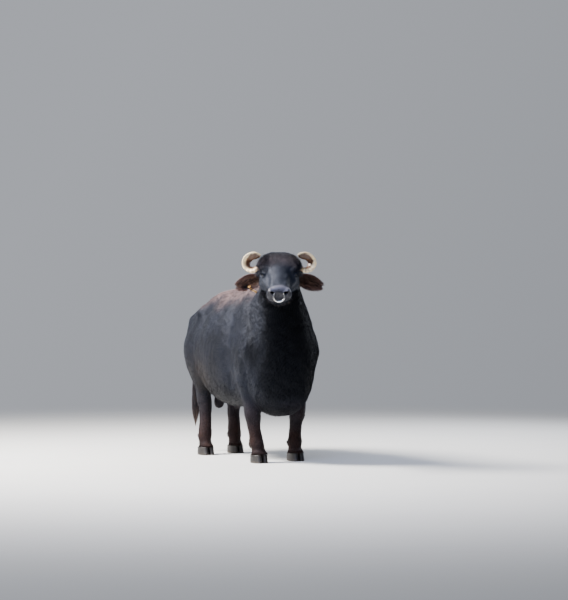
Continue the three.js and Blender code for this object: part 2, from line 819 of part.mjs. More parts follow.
// The forelock: rows of locks from the crown of the poll, lying forward over the forehead.
const FORELOCK = {
  rows: [
    { t: 0.04, count: 4, length: 112 },
    { t: 0.1, count: 5, length: 100 },
    { t: 0.17, count: 5, length: 84 },
  ],
  from: 28, // degrees round the head's section, from its left side over the top
  to: 152,
  width: 52,
  thick: 11,
  sunk: 12,
  lift: 7, // how far the middle of a lock stands off the skin
  puff: 34, // how much farther the locks beside the horns would stand off
};

function forelock() {
  const random = randomFrom(7);
  const locks = [];
  for (const row of FORELOCK.rows)
    for (let k = 0; k < row.count; k += 1) {
      const angle = mix(FORELOCK.from, FORELOCK.to, (k + 0.5) / row.count);
      const length = row.length * mix(0.85, 1.1, random());
      const swing = mix(-9, 9, random());
      const stand = FORELOCK.lift + FORELOCK.puff * Math.cos(angle * RAD) ** 2;
      const path = [];
      for (let i = 0; i <= 4; i += 1) {
        const t = i / 4;
        const bend = (angle + swing * t) * RAD;
        const skin = headSkin(row.t + (t * length) / HEAD_LENGTH, bend);
        const out = vec(Math.cos(bend), 0, Math.sin(bend));
        const lift = mix(-FORELOCK.sunk, stand, Math.sin(Math.min(t * 1.6, 1.25) * 90 * RAD));
        path.push(headPoint(skin.addScaledVector(out, lift)));
      }
      const outward = headPoint(vec(Math.cos(angle * RAD), 0, Math.sin(angle * RAD)))
        .sub(headPoint(vec(0, 0, 0)));
      locks.push(lockSolid(path, outward, FORELOCK.width, FORELOCK.thick));
    }
  return locks;
}

// The switch: locks round the end of the tail, the lower ones inside the upper ones.
const SWITCH = { count: 13, width: 36, thick: 13, puff: 32, shortest: 140 };

function tailSwitch() {
  const random = randomFrom(31);
  const locks = [];
  for (let i = 0; i < SWITCH.count; i += 1) {
    const share = i / (SWITCH.count - 1);
    const along = mix(TAIL.switchFrom, 0.97, share);
    const around = i * 137.5 * RAD;
    const out = vec(Math.cos(around), Math.sin(around), 0);
    const half = mix(TAIL.half, TAIL.end, along ** 0.6);
    const root = tailPath.getPoint(along).addScaledVector(out, half * 0.35);
    const tip = mix(TAIL.tip + SWITCH.shortest, TAIL.tip, share ** 0.5);
    const puff = SWITCH.puff * mix(0.8, 1.15, random()) * mix(1, 0.5, share);
    const path = [];
    for (let k = 0; k <= 5; k += 1) {
      const t = k / 5;
      const bow = out.clone().multiplyScalar(puff * Math.sin(t * 155 * RAD));
      path.push(root.clone().add(bow).setZ(mix(root.z, tip, t)));
    }
    locks.push(lockSolid(path, out, SWITCH.width, SWITCH.thick));
  }
  return locks;
}

// A short tuft hangs from the sheath under the belly.
const TUFT = {
  y: 150,
  z: 452,
  count: 5,
  length: 74,
  width: 22,
  thick: 9,
  apart: 9, // between the roots of two locks side by side
  stagger: 16, // every second root stands this much farther back
  curl: 14, // how far the tips bend forward
  shorter: 7, // what each lock loses against the one nearer the middle
  splay: 0.3, // how far the outer locks turn their flat sides out
};

function sheathTuft() {
  const locks = [];
  for (let i = 0; i < TUFT.count; i += 1) {
    const spread = i - (TUFT.count - 1) / 2;
    const path = [];
    for (let k = 0; k <= 3; k += 1) {
      const t = k / 3;
      path.push(
        vec(
          spread * TUFT.apart * mix(1, 0.5, t),
          TUFT.y + (i % 2) * TUFT.stagger - TUFT.curl * t * t,
          TUFT.z - t * (TUFT.length - Math.abs(spread) * TUFT.shorter),
        ),
      );
    }
    const flat = vec(spread * TUFT.splay, -1, 0).normalize();
    locks.push(lockSolid(path, flat, TUFT.width, TUFT.thick));
  }
  return locks;
}

// The scrotum hangs between the thighs

const SCROTUM = { y: 500, top: 690, neck: 540, bottom: 378, half: 46 };

function scrotumSolid(grow) {
  const sides = 14;
  const profile = [
    [SCROTUM.top, 0.5],
    [SCROTUM.neck + 70, 0.52],
    [SCROTUM.neck, 0.62],
    [mix(SCROTUM.neck, SCROTUM.bottom, 0.4), 0.95],
    [mix(SCROTUM.neck, SCROTUM.bottom, 0.7), 1],
    [mix(SCROTUM.neck, SCROTUM.bottom, 0.92), 0.7],
    [SCROTUM.bottom, 0.3],
  ];
  const rings = profile.map(([z, share]) => {
    const ring = [];
    for (let k = 0; k < sides; k += 1) {
      const angle = (k / sides) * 2 * Math.PI;
      ring.push(
        vec(
          (SCROTUM.half * share + grow) * Math.cos(angle),
          SCROTUM.y + (SCROTUM.half * share * 0.9 + grow) * Math.sin(angle),
          z + (z > SCROTUM.neck ? grow : -grow),
        ),
      );
    }
    return ring;
  });
  return loft(rings);
}

// What it wears: a steel ring through the wall between the nostrils

const NOSE_RING = { radius: 42, wire: 5.5, along: 496, up: 36, swing: 3 };

function noseRing(grow) {
  const wire = NOSE_RING.wire + grow;
  const geometry = new THREE.TorusGeometry(NOSE_RING.radius, wire, 7, 26);
  const swing = NOSE_RING.swing * RAD;
  const down = vec(0, 0, -Math.cos(swing)).addScaledVector(headForward, Math.sin(swing));
  const axis = vec().crossVectors(headSide, down);
  const place = new THREE.Matrix4().makeBasis(headSide, down, axis);
  const hole = headPoint(vec(0, NOSE_RING.along, NOSE_RING.up));
  place.setPosition(hole.addScaledVector(down, NOSE_RING.radius));
  return solidOf(geometry.applyMatrix4(place));
}

// And a bare plastic tag in the right ear: a panel under the ear's lower edge, and a button on a
// pin that goes through the ear.

const TAG = {
  width: 50,
  length: 66,
  thick: 3,
  pin: 4,
  button: 13,
  along: 0.6, // where the pin goes through, from the ear's root to its tip
  round: 62, // degrees round the cup, towards its lower edge
  hang: 26, // degrees that the panel slopes down towards the head
};

function tagSolid(grow) {
  const { outward, open, wide, root } = earFrame(-1);
  const angle = TAG.round * RAD;
  const out = wide
    .clone()
    .multiplyScalar(Math.sin(angle) / EAR.width)
    .addScaledVector(open, -Math.cos(angle) / EAR.depth)
    .normalize();
  const through = root
    .clone()
    .addScaledVector(outward, TAG.along * EAR.length)
    .addScaledVector(wide, EAR.width * 0.97 * Math.sin(angle))
    .addScaledVector(open, -EAR.depth * 0.86 * Math.cos(angle));
  const turned = new THREE.Quaternion().setFromUnitVectors(vec(0, 0, 1), out);
  const disc = (radius, height, lift) => {
    const geometry = new THREE.CylinderGeometry(radius, radius, height, 12);
    geometry.rotateX(90 * RAD);
    geometry.translate(0, 0, lift);
    geometry.applyQuaternion(turned);
    geometry.translate(through.x, through.y, through.z);
    return solidOf(geometry);
  };
  const pin = disc(TAG.pin + grow, 30, 0);
  const button = disc(TAG.button + grow, 4 + 2 * grow, -13);
  const collar = disc(TAG.button * 0.8 + grow, 5 + 2 * grow, 12);
  const panel = new THREE.BoxGeometry(TAG.length, TAG.width, TAG.thick);
  panel.translate(TAG.length * 0.36, 0, 0);
  const slope = TAG.hang * RAD;
  const along = headSide
    .clone()
    .multiplyScalar(Math.cos(slope))
    .add(vec(0, 0, -Math.sin(slope)));
  const across = headForward
    .clone()
    .applyAxisAngle(along, 14 * RAD);
  const place = new THREE.Matrix4().makeBasis(
    along,
    across,
    vec().crossVectors(along, across),
  );
  place.setPosition(through.clone().addScaledVector(out, 15));
  return wasm.Manifold.union([pin, button, collar, solidOf(panel.applyMatrix4(place))]);
}

// Materials, from the photo

const finish = (color, roughness, metalness = 0) =>
  new THREE.MeshStandardMaterial({ color, roughness, metalness });
const materials = {
  hide: finish(0x1d1d20, 0.6),
  horn: finish(0xd9c3a0, 0.45),
  hoof: finish(0x2b2420, 0.5),
  eye: finish(0x0d0806, 0.1),
  steel: finish(0xd8d8d6, 0.25, 1),
  tag: finish(0xe0b52c, 0.45),
};

const bull = new THREE.Group();
function addNode(name, solid, material) {
  const mesh = new THREE.Mesh(geometryOf(largest(solid)), materials[material]);
  mesh.name = name;
  bull.add(mesh);
}

// Putting it together

drawBack(trunkRings[trunkRings.length - 1], vec(0, 1, -1));
drawBack(neckRings[neckRings.length - 1], vec(0, 1, 0));
let trunk = wasm.Manifold.union([loft(trunkRings), ...legs.map(legSolid)]);
trunk = trunk.subtract(tailSolid(GAP)).subtract(scrotumSolid(GAP));

for (const leg of legs) {
  let limb = trunk.intersect(legBlock(leg, -GAP));
  trunk = trunk.subtract(legBlock(leg, 0));
  for (const which of [-1, 1]) {
    const where = which === leg.side ? "outer" : "inner";
    limb = limb.subtract(dewclawSolid(leg, which, GAP));
    addNode(`dewclaw_${leg.name}_${where}`, dewclawSolid(leg, which, 0), "hoof");
    addNode(`hoof_${leg.name}_${where}`, clawSolid(leg, which), "hoof");
  }
  addNode(`leg_${leg.name}`, limb, "hide");
}
addNode("torso", wasm.Manifold.union([trunk, ...sheathTuft()]), "hide");
addNode("scrotum", scrotumSolid(0), "hide");
addNode("tail", wasm.Manifold.union([tailSolid(0), ...tailSwitch()]), "hide");

let neck = loft(neckRings);
const lids = [-1, 1].map((side) => eyeBall(side, EYE.radius + EYE.lid));
let head = wasm.Manifold.union([headSolid(), ...lids, ...forelock()]);
for (const side of [-1, 1]) {
  const where = side > 0 ? "left" : "right";
  neck = neck.subtract(hornSolid(side, GAP)).subtract(earBlank(side, GAP));
  head = head
    .subtract(eyeOpening(side))
    .subtract(eyeBall(side, EYE.radius + GAP))
    .subtract(nostril(side))
    .subtract(hornSolid(side, GAP))
    .subtract(earBlank(side, GAP));
  addNode(`horn_${where}`, hornSolid(side, 0), "horn");
  addNode(`eye_${where}`, eyeBall(side, EYE.radius), "eye");
}
addNode("ear_left", earSolid(1), "hide");
addNode("ear_right", earSolid(-1).subtract(tagSolid(GAP)), "hide");
addNode("ear_tag", tagSolid(0), "tag");
addNode("neck", neck, "hide");
addNode("head", head.subtract(mouthGroove()).subtract(noseRing(GAP)), "hide");
addNode("nose_ring", noseRing(0), "steel");

const box = new THREE.Box3().setFromObject(bull);
const middle = box.getCenter(vec());
bull.position.set(-middle.x, -middle.y, 0);

export default bull;
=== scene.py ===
import math

import bmesh
import bpy
import numpy as np
from mathutils import Matrix, Vector
from mathutils.bvhtree import BVHTree


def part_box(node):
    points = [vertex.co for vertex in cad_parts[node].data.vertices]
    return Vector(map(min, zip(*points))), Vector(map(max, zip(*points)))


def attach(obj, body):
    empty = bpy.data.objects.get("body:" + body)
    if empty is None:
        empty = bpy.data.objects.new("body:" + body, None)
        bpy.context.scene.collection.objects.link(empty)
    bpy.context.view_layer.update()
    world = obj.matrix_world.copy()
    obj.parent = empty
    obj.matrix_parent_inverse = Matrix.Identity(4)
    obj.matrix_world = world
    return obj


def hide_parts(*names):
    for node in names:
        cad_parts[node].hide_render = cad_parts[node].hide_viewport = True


# A grown water buffalo bull at life size, standing square with its head turned to its right.
# All sizes are millimetres in the plain frame of the animal: the middle of the back is at x = 0,
# y = 0, the bull faces -Y and its left side is at +X.

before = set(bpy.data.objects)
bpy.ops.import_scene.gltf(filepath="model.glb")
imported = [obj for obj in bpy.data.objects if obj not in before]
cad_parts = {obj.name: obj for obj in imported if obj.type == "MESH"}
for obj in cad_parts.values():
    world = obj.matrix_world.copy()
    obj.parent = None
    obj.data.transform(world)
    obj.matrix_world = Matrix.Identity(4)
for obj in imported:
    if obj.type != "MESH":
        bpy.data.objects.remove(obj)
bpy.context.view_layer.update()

# The camera stands at the height of the withers, 18 m off, and looks at the right shoulder.
# A long lens at that distance gives the flat drawing of the photograph, so no depth is forced.
PICTURE_HIGH = 600
FOCAL_PIXELS = 2232
SENSOR = 36.0
VIEW_TURN = math.radians(-27.5)
VIEW_DIP = math.radians(0.28)
EYE_POINT = (-8211.4, -16458.3, 1386.0)
RUMP_Y = 785.0

torso_low, torso_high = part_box("torso")
SHIFT = np.array([(torso_low.x + torso_high.x) * 500, torso_high.y * 1000 - RUMP_Y, 0.0])


def to_scene(points):
    """Millimetres in the animal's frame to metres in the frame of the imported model."""
    return (np.asarray(points, float) + SHIFT) / 1000


lens = bpy.data.cameras.new("camera")
lens.sensor_fit = "VERTICAL"
lens.sensor_height = SENSOR
lens.lens = FOCAL_PIXELS / PICTURE_HIGH * SENSOR
lens.clip_end = 200
camera = bpy.data.objects.new("camera", lens)
bpy.context.scene.collection.objects.link(camera)
camera.location = Vector(to_scene(EYE_POINT))
camera.rotation_euler = (math.pi / 2 - VIEW_DIP, 0, VIEW_TURN)
bpy.context.scene.camera = camera

# The hide: one skin over the whole animal, from the muzzle to the coronets and down the dock of
# the tail. Each part of the body is drawn over slices, and all parts are then fused and worked
# over as a modeller works clay, with the muscles, bones and folds put on last.
WITHERS = 1440.0
HALF_GIRTH = 385.0
BRISKET_Z = 375.0
HEAD_TURN = math.radians(27.5)
HEAD_PITCH = math.radians(26.0)
HEAD_LENGTH = 512.0
JOINT_TILT = 8.0
POLL = np.array([-170.0, -930.0, 1558.0])
CORONET = 66.0

head_forward = np.array([-math.sin(HEAD_TURN), -math.cos(HEAD_TURN), 0.0])
head_side = np.array([math.cos(HEAD_TURN), -math.sin(HEAD_TURN), 0.0])
head_axis = head_forward * math.cos(HEAD_PITCH) - np.array([0, 0, math.sin(HEAD_PITCH)])
head_up = head_forward * math.sin(HEAD_PITCH) + np.array([0, 0, math.cos(HEAD_PITCH)])
HEAD_FRAME = np.array([head_side, head_axis, head_up])


def on_head(local):
    """Points given on the head as (side, along, up), put in the animal's frame."""
    return POLL + np.asarray(local, float) @ HEAD_FRAME


def in_head(points):
    """Points in the animal's frame, given as (side, along, up) on the head."""
    return (np.asarray(points, float) - POLL) @ HEAD_FRAME.T


def smoothly(value, start, end):
    t = np.clip((np.asarray(value, float) - start) / (end - start), 0, 1)
    return t * t * (3 - 2 * t)


def mix(a, b, t):
    return a + (b - a) * t


def through(stations, t):
    """A smooth curve through the rows of a table, read at each share t of its length."""
    rows = np.asarray(stations, float)
    t = np.asarray(t, float)
    padded = np.concatenate([[2 * rows[0] - rows[1]], rows, [2 * rows[-1] - rows[-2]]])
    place = t * (len(rows) - 1)
    first = np.clip(np.floor(place).astype(int), 0, len(rows) - 2)
    w = (place - first)[..., None]
    p0, p1, p2, p3 = (padded[first + k] for k in range(4))
    out, back = (p2 - p0) / 2, (p3 - p1) / 2
    square, cube = 3 * (p2 - p1) - 2 * out - back, 2 * (p1 - p2) + out + back
    return p1 + out * w + square * w**2 + cube * w**3


def section(angle, half, rise, drop, peak, keel):
    """A rounded slice: half wide, with its own height and squareness above and below."""
    c, n = np.cos(angle), np.sin(angle)
    power = np.where(n > 0, peak, keel)
    wide = np.sign(c) * np.abs(c) ** (2 / power) * half
    high = np.sign(n) * np.abs(n) ** (2 / power) * np.where(n > 0, rise, drop)
    return wide, high


def raised(points, outward, bumps):
    """Adds soft bumps and hollows: each is a middle, a spread on each axis and a height."""
    moved = points.copy()
    for at, spread, by in bumps:
        far = (((points - at) / spread) ** 2).sum(-1, keepdims=True)
        moved += outward * by * np.exp(-far) * (far < 6)
    return moved


def both_sides(bumps):
    mirrored = [((-at[0], *at[1:]), spread, by) for at, spread, by in bumps]
    return bumps + mirrored


def unit(vectors):
    return vectors / np.maximum(np.linalg.norm(vectors, axis=-1, keepdims=True), 1e-9)


def turns(sides):
    """The angles of points spaced evenly round a ring."""
    return np.arange(sides) / sides * 2 * np.pi


def lofted(rings):
    """A closed skin over rings of the same number of points: its points and its faces."""
    count, sides, _ = rings.shape
    points = np.concatenate([rings.reshape(-1, 3), [rings[0].mean(0), rings[-1].mean(0)]])
    row, k = np.meshgrid(np.arange(count - 1), np.arange(sides), indexing="ij")
    a = (row * sides + k).ravel()
    b = (row * sides + (k + 1) % sides).ravel()
    faces = np.stack([a, b, b + sides, a + sides], 1).tolist()
    last, middle = (count - 1) * sides, count * sides
    for i in range(sides):
        j = (i + 1) % sides
        faces.append([j, i, middle])
        faces.append([last + i, last + j, middle + 1])
    volume = np.einsum("ij,ij->", points[a], np.cross(points[b], points[b + sides]))
    if volume < 0:
        faces = [face[::-1] for face in faces]
    return points, faces


# The trunk and the neck: x, y, z, half, rise, drop, tilt, turn, peak and keel of each slice.
nape = on_head((0, 10, -52))
NAPE = (138, 152, 150)
TRUNK = [
    (0, RUMP_Y, 1060, 90, 95, 130, 0, 0, 2, 2.35),
    (0, RUMP_Y - 45, 1050, 170, 172, 310, 0, 0, 1.7, 2.35),
    (0, RUMP_Y - 125, 1030, 224, 240, 400, 0, 0, 1.45, 2.35),
    (0, RUMP_Y - 260, 995, 256, 330, 420, 0, 0, 1.55, 2.35),
    (0, 350, 950, 298, 412, 450, 0, 0, 1.7, 2.35),
    (0, 170, 900, 348, 480, 465, 0, 0, 1.85, 2.35),
    (0, -20, 880, HALF_GIRTH, 512, 455, 0, 0, 1.95, 2.35),
    (0, -210, 880, 376, 522, 460, 0, 0, 1.95, 2.35),
    (0, -390, 890, 335, WITHERS - 898, 480, 3, 0, 1.95, 2.35),
    (-4, -535, 912, 318, 520, 912 - BRISKET_Z, 8, 0, 1.95, 2.35),
    (-18, -640, 985, 300, 462, 562, 15, 5, 1.95, 2.35),
    (-45, -722, 1085, 256, 386, 470, 22, 11, 1.95, 2.35),
    (-86, -796, 1212, 202, 326, 335, 27, 18, 1.95, 2.35),
    (-126, -860, 1352, 162, 248, 226, 25, 24, 1.95, 2.35),
    (*nape, *NAPE, JOINT_TILT, math.degrees(HEAD_TURN), 2.5, 2.2),
]
TRUNK_BUMPS = both_sides(
    [
        ((225, 400, 1185), (80, 70, 70), 26),
        ((262, 255, 1150), (120, 95, 90), -26),
        ((150, 730, 1130), (70, 60, 70), 14),
        ((270, 520, 880), (120, 150, 180), 8),
        ((300, -640, 930), (110, 90, 150), 28),
        ((290, -370, 820), (110, 70, 240), -16),
    ]
) + [
    ((0, -640, 500), (130, 170, 130), 24),
    ((0, 190, 440), (60, 130, 60), 24),
]


def trunk_rings(count, sides):
    row = through(TRUNK, np.linspace(0, 1, count))[:, None, :]
    x, y, z, half, rise, drop, tilt, turn, peak, keel = np.moveaxis(row, -1, 0)
    tilt, turn = np.radians(tilt), np.radians(turn)
    zero = np.zeros_like(turn)
    forward = np.stack([-np.sin(turn), -np.cos(turn), zero], -1)
    side = np.stack([np.cos(turn), -np.sin(turn), zero], -1)
    up = -forward * np.sin(tilt)[..., None] + np.stack([zero, zero, np.cos(tilt)], -1)
    angle = turns(sides)[None, :]
    wide, high = section(angle, half, rise, drop, peak, keel)
    middle = np.stack([x, y, z], -1)
    points = middle + side * wide[..., None] + up * high[..., None]
    return raised(points, unit(points - middle), TRUNK_BUMPS)


# The head: along, up, half, rise, drop, lean, peak and keel of each slice.
HEAD = [
    (10, -52, *NAPE, -math.degrees(HEAD_PITCH) - JOINT_TILT, 2.3, 2.2),
    (54, -40, 156, 176, 142, -20, 3.1, 2.2),
    (110, -26, 152, 162, 136, -9, 3.1, 2.2),
    (174, -16, 134, 140, 124, -2, 2.7, 2.2),
    (236, -6, 114, 114, 114, 0, 2.3, 2.2),
    (306, 2, 92, 92, 104, 0, 2.3, 2.2),
    (376, 5, 80, 76, 96, 0, 2.3, 2.2),
    (436, 2, 84, 68, 94, 0, 2.3, 2.2),
    (480, 4, 89, 60, 80, 0, 2.3, 2.2),
    (HEAD_LENGTH - 8, 0, 70, 44, 50, 0, 2.3, 2.2),
    (HEAD_LENGTH, -2, 40, 24, 26, 0, 2.3, 2.2),
]
HEAD_BUMPS = both_sides(
    [
        ((116, 172, 66), (46, 42, 36), 20),
        ((120, 226, -6), (40, 60, 28), 12),
        ((96, 262, 40), (40, 50, 40), -9),
        ((120, 150, -92), (50, 90, 60), 16),
        ((70, 490, 26), (26, 26, 30), 9),
        ((66, 470, -34), (36, 44, 20), 7),
    ]
) + [
    ((0, 96, 134), (100, 80, 70), 10),
    ((0, 474, -84), (50, 34, 34), 10),
]


def head_skin(t, angle):
    """Points of the head's skin as (side, along, up), at shares t of the way to the muzzle."""
    row = through(HEAD, t)
    along, up, half, rise, drop, lean, peak, keel = np.moveaxis(row, -1, 0)
    wide, high = section(angle, half, rise, drop, peak, keel)
    lean = np.radians(lean)
    out = np.stack([wide, high * np.sin(lean), high * np.cos(lean)], -1)
    local = out + np.stack([np.zeros_like(along), along, up], -1)
    return raised(local, unit(out), HEAD_BUMPS)


def head_rings(count, sides):
    t, angle = np.meshgrid(np.linspace(0, 1, count), turns(sides), indexing="ij")
    return on_head(head_skin(t, angle))


# The legs: z, x, y, half across and half along the body of each level slice.
FORE = [
    (1250, 120, -480, 55, 58),
    (1160, 168, -500, 86, 112),
    (1040, 205, -540, 104, 160),
    (900, 228, -560, 112, 178),
    (770, 236, -532, 106, 164),
    (670, 236, -505, 96, 132),
    (570, 228, -498, 80, 100),
    (480, 219, -500, 67, 78),
    (415, 213, -505, 65, 70),
    (365, 211, -505, 64, 67),
    (300, 209, -498, 54, 55),
    (220, 207, -497, 52, 53),
    (160, 206, -503, 58, 62),
    (112, 205, -516, 54, 57),
    (84, 204, -527, 61, 64),
    (CORONET, 204, -531, 65, 68),
]
HIND = [
    (1150, 100, 490, 50, 95),
    (1080, 142, 500, 80, 170),
    (970, 176, 502, 98, 226),
    (850, 190, 492, 104, 230),
    (740, 190, 488, 95, 198),
    (640, 187, 508, 79, 142),
    (560, 178, 534, 65, 98),
    (500, 172, 550, 60, 83),
    (445, 167, 545, 59, 73),
    (380, 163, 532, 54, 59),
    (280, 160, 515, 51, 53),
    (172, 158, 500, 57, 60),
    (118, 157, 488, 53, 56),
    (84, 156, 476, 59, 62),
    (CORONET, 156, 472, 62, 66),
]
# The stance: side, slices, and how far the joint and the foot are set outward and forward.
LEGS = {
    "fore_left": (1, FORE, (4, -4), (-14, -8)),
    "fore_right": (-1, FORE, (-12, 14), (-34, 52)),
    "hind_left": (1, HIND, (-6, -10), (-6, -20)),
    "hind_right": (-1, HIND, (-24, 58), (10, 62)),
}
HIP, JOINT = 880.0, 430.0


def in_stance(leg, points):
    """Points of the plain left leg, put where this leg stands."""
    side, _, joint, foot = LEGS[leg]
    x, y, z = np.moveaxis(np.asarray(points, float), -1, 0)
    below = smoothly(HIP - z, 0, HIP - JOINT)
    low = smoothly(JOINT - z, 0, JOINT - CORONET)
    out, forward = (mix(joint[i] * below, foot[i], low) for i in range(2))
    return np.stack([side * (x + out), y - forward, z], -1)


def leg_rings(leg, count, sides):
    row = through(LEGS[leg][1], np.linspace(0, 1, count))[:, None, :]
    z, x, y, half, deep = np.moveaxis(row, -1, 0)
    angle = turns(sides)[None, :]
    middle = in_stance(leg, np.stack([x, y, z], -1))
    reach = np.stack([half * np.cos(angle), deep * np.sin(angle), np.zeros_like(z * angle)], -1)
    return middle + reach


# The ears: deep cups that open forward. They are drawn thick here, so that fusing keeps them
# whole, and are thinned afterwards.
EAR_ROOT = (104, 40, -72)
EAR_LENGTH, EAR_WIDTH, EAR_DEPTH, EAR_SAG = 252.0, 56.0, 40.0, 14.0
EAR_DROOP, EAR_BACK = math.radians(13), math.radians(16)
EAR_SPARE = 3.5
EAR_WALL = 7.0


def ear_frame(side):
    """The ear's own directions: outward to its tip, where it opens, and across it."""
    outward = head_side * side * math.cos(EAR_BACK) - head_forward * math.sin(EAR_BACK)
    outward = outward * math.cos(EAR_DROOP) - np.array([0, 0, math.sin(EAR_DROOP)])
    opening = unit(head_forward - outward * head_forward.dot(outward))
    across = np.cross(outward, opening) * side
    root = on_head((side * EAR_ROOT[0], *EAR_ROOT[1:]))
    return root, outward, opening, across


def ear_size(t):
    """Half the height, the depth and the reach of the wall at shares t of the ear."""
    swelling = np.sin(np.minimum(t * 1.5, 1) * np.pi / 2)
    closing = np.sqrt(np.maximum(1 - np.maximum(t - 0.42, 0) ** 2 / 0.34, 0.012))
    half = mix(30, EAR_WIDTH, swelling) * closing
    depth = np.minimum(mix(30, EAR_DEPTH, swelling) * mix(1, 0.35, t**1.5), half)
    return half, depth, np.radians(mix(150, 94, np.minimum(t * 2.2, 1)))


def ear_surface(side, t, share, inset):
    """Points of the cup at shares t outward and shares -1 to 1 round the wall."""
    root, outward, opening, across = ear_frame(side)
    half, depth, reach = ear_size(t)
    angle = share * reach
    points = (
        root
        + outward * (t * EAR_LENGTH)[..., None]
        + across * ((half - inset) * np.sin(angle))[..., None]
        - opening * ((depth - inset) * np.cos(angle))[..., None]
    )
    points[..., 2] -= EAR_SAG * t * t
    return points


def ear_rings(side, count, arc):
    t = np.linspace(0, 1, count)[:, None] * np.ones(arc)
    share = np.linspace(-1, 1, arc)[None, :] * np.ones((count, 1))
    wall = np.minimum(EAR_WALL + 2 * EAR_SPARE, ear_size(t)[0] * 0.7)
    outer = ear_surface(side, t, share, -EAR_SPARE)
    inner = ear_surface(side, t, share * 0.97, wall - EAR_SPARE)
    inner += ear_frame(side)[2] * 2
    return np.concatenate([outer, inner[:, ::-1]], 1)


# The dock of the tail, a tapering rope to a hand above the hocks, and the scrotum.
TAIL_PATH = [
    (0, RUMP_Y - 120, 1205),
    (0, RUMP_Y - 40, 1205),
    (-14, RUMP_Y + 22, 1120),
    (-36, RUMP_Y + 42, 970),
    (-54, RUMP_Y + 44, 780),
    (-64, RUMP_Y + 40, 560),
    (-66, RUMP_Y + 38, 430),
]
TAIL_HALF, TAIL_END = 34.0, 13.0
SCROTUM_Y, SCROTUM_HALF = 500.0, 46.0
SCROTUM = [
    (690, 0.5),
    (610, 0.52),
    (540, 0.6),
    (475, 0.93),
    (427, 1.0),
    (394, 0.78),
    (378, 0.22),
]


def tail_rings(count, sides):
    t = np.linspace(0, 1, count)
    path = through(TAIL_PATH, t)
    ahead = unit(np.gradient(path, axis=0))
    half = mix(TAIL_HALF, TAIL_END, t**0.6)[:, None, None]
    half[-1] *= 0.5
    side = np.array([1.0, 0, 0])
    over = unit(np.cross(ahead, side))[:, None, :]
    angle = turns(sides)[None, :, None]
    return path[:, None, :] + half * (1.1 * np.cos(angle) * side + np.sin(angle) * over)


def scrotum_rings(count, sides):
    z, share = np.moveaxis(through(SCROTUM, np.linspace(0, 1, count)), -1, 0)
    angle = turns(sides)
    half = (SCROTUM_HALF * share)[:, None]
    parted = 1 - 0.12 * np.exp(-((np.cos(angle) / 0.3) ** 2)) * smoothly(560 - z, 0, 80)[:, None]
    x = half * np.cos(angle)
    y = SCROTUM_Y + half * 0.9 * np.sin(angle) * parted
    return np.stack([x, y, z[:, None] * np.ones(sides)], -1)


# The eyes sit in bulging lids, which are part of the skin.
EYE_ALONG, EYE_UP, EYE_SIDE, EYE_RADIUS, LID = 198.0, 34.0, 114.0, 23.0, 6.0
EYE_FACING = math.radians(62)


def globe_rings(middle, radius, count, sides):
    fall = np.linspace(0.02, np.pi - 0.02, count)[:, None]
    angle = turns(sides)[None, :]
    x, y = np.sin(fall) * np.cos(angle), np.sin(fall) * np.sin(angle)
    return middle + radius * np.stack([x, y, np.cos(fall) * np.ones_like(angle)], -1)


def eye_middle(side):
    return on_head((side * EYE_SIDE, EYE_ALONG, EYE_UP))


body_parts = [trunk_rings(170, 120), head_rings(110, 120), tail_rings(90, 20), scrotum_rings(40, 32)]
body_parts += [leg_rings(leg, 130, 56) for leg in LEGS]
body_parts += [ear_rings(side, 50, 22) for side in (-1, 1)]
body_parts += [globe_rings(eye_middle(side), EYE_RADIUS + LID, 24, 32) for side in (-1, 1)]


def new_piece(name, points, faces, finish=None, smooth=True):
    """A piece over points in the animal's frame, with its finish."""
    mesh = bpy.data.meshes.new(name)
    mesh.from_pydata(to_scene(points).tolist(), [], faces)
    mesh.polygons.foreach_set("use_smooth", np.full(len(mesh.polygons), smooth))
    mesh.update()
    if finish:
        mesh.materials.append(finish)
    made = bpy.data.objects.new(name, mesh)
    bpy.context.scene.collection.objects.link(made)
    return made


def joined(parts):
    """The points and faces of several closed lofts, each given by its rings."""
    points, faces, start = [], [], 0
    for rings in parts:
        part_points, part_faces = lofted(rings)
        points.append(part_points)
        faces += [[i + start for i in face] for face in part_faces]
        start += len(part_points)
    return np.concatenate(points), faces


def fused(name, parts, grain):
    """Fuses closed parts that run into each other to one skin with an even grain."""
    made = new_piece(name, *joined(parts))
    remesh = made.modifiers.new("fuse", "REMESH")
    remesh.mode = "VOXEL"
    remesh.voxel_size = grain / 1000
    shape = made.evaluated_get(bpy.context.evaluated_depsgraph_get())
    whole = bpy.data.meshes.new_from_object(shape)
    made.modifiers.clear()
    made.data = whole
    return made


def points_of(mesh):
    flat = np.empty(len(mesh.vertices) * 3)
    mesh.vertices.foreach_get("co", flat)
    return flat.reshape(-1, 3) * 1000 - SHIFT


def put_points(mesh, points):
    mesh.vertices.foreach_set("co", to_scene(points).ravel())
    mesh.update()


def normals_of(mesh):
    flat = np.empty(len(mesh.vertices) * 3)
    mesh.vertex_normals.foreach_get("vector", flat)
    return flat.reshape(-1, 3)


def relaxed(mesh, points, weight, rounds):
    """Evens the skin out: each point moves towards the middle of its neighbours."""
    ends = np.empty(len(mesh.edges) * 2, int)
    mesh.edges.foreach_get("vertices", ends)
    a, b = ends.reshape(-1, 2).T
    count = len(points)
    degree = np.bincount(a, minlength=count) + np.bincount(b, minlength=count)
    chosen = np.nonzero(weight > 0.01)[0]
    keep = np.isin(a, chosen) | np.isin(b, chosen)
    a, b = a[keep], b[keep]
    points = points.copy()
    w = (weight[chosen] * 0.5)[:, None]
    for _ in range(rounds):
        middle = np.empty((len(chosen), 3))
        for axis in range(3):
            total = np.bincount(a, points[b, axis], count) + np.bincount(b, points[a, axis], count)
            middle[:, axis] = total[chosen] / np.maximum(degree[chosen], 1)
        points[chosen] += (middle - points[chosen]) * w
    return points


SKIN_GRAIN = 7.2
hide = fused("hide", body_parts, SKIN_GRAIN)
skin = hide.data


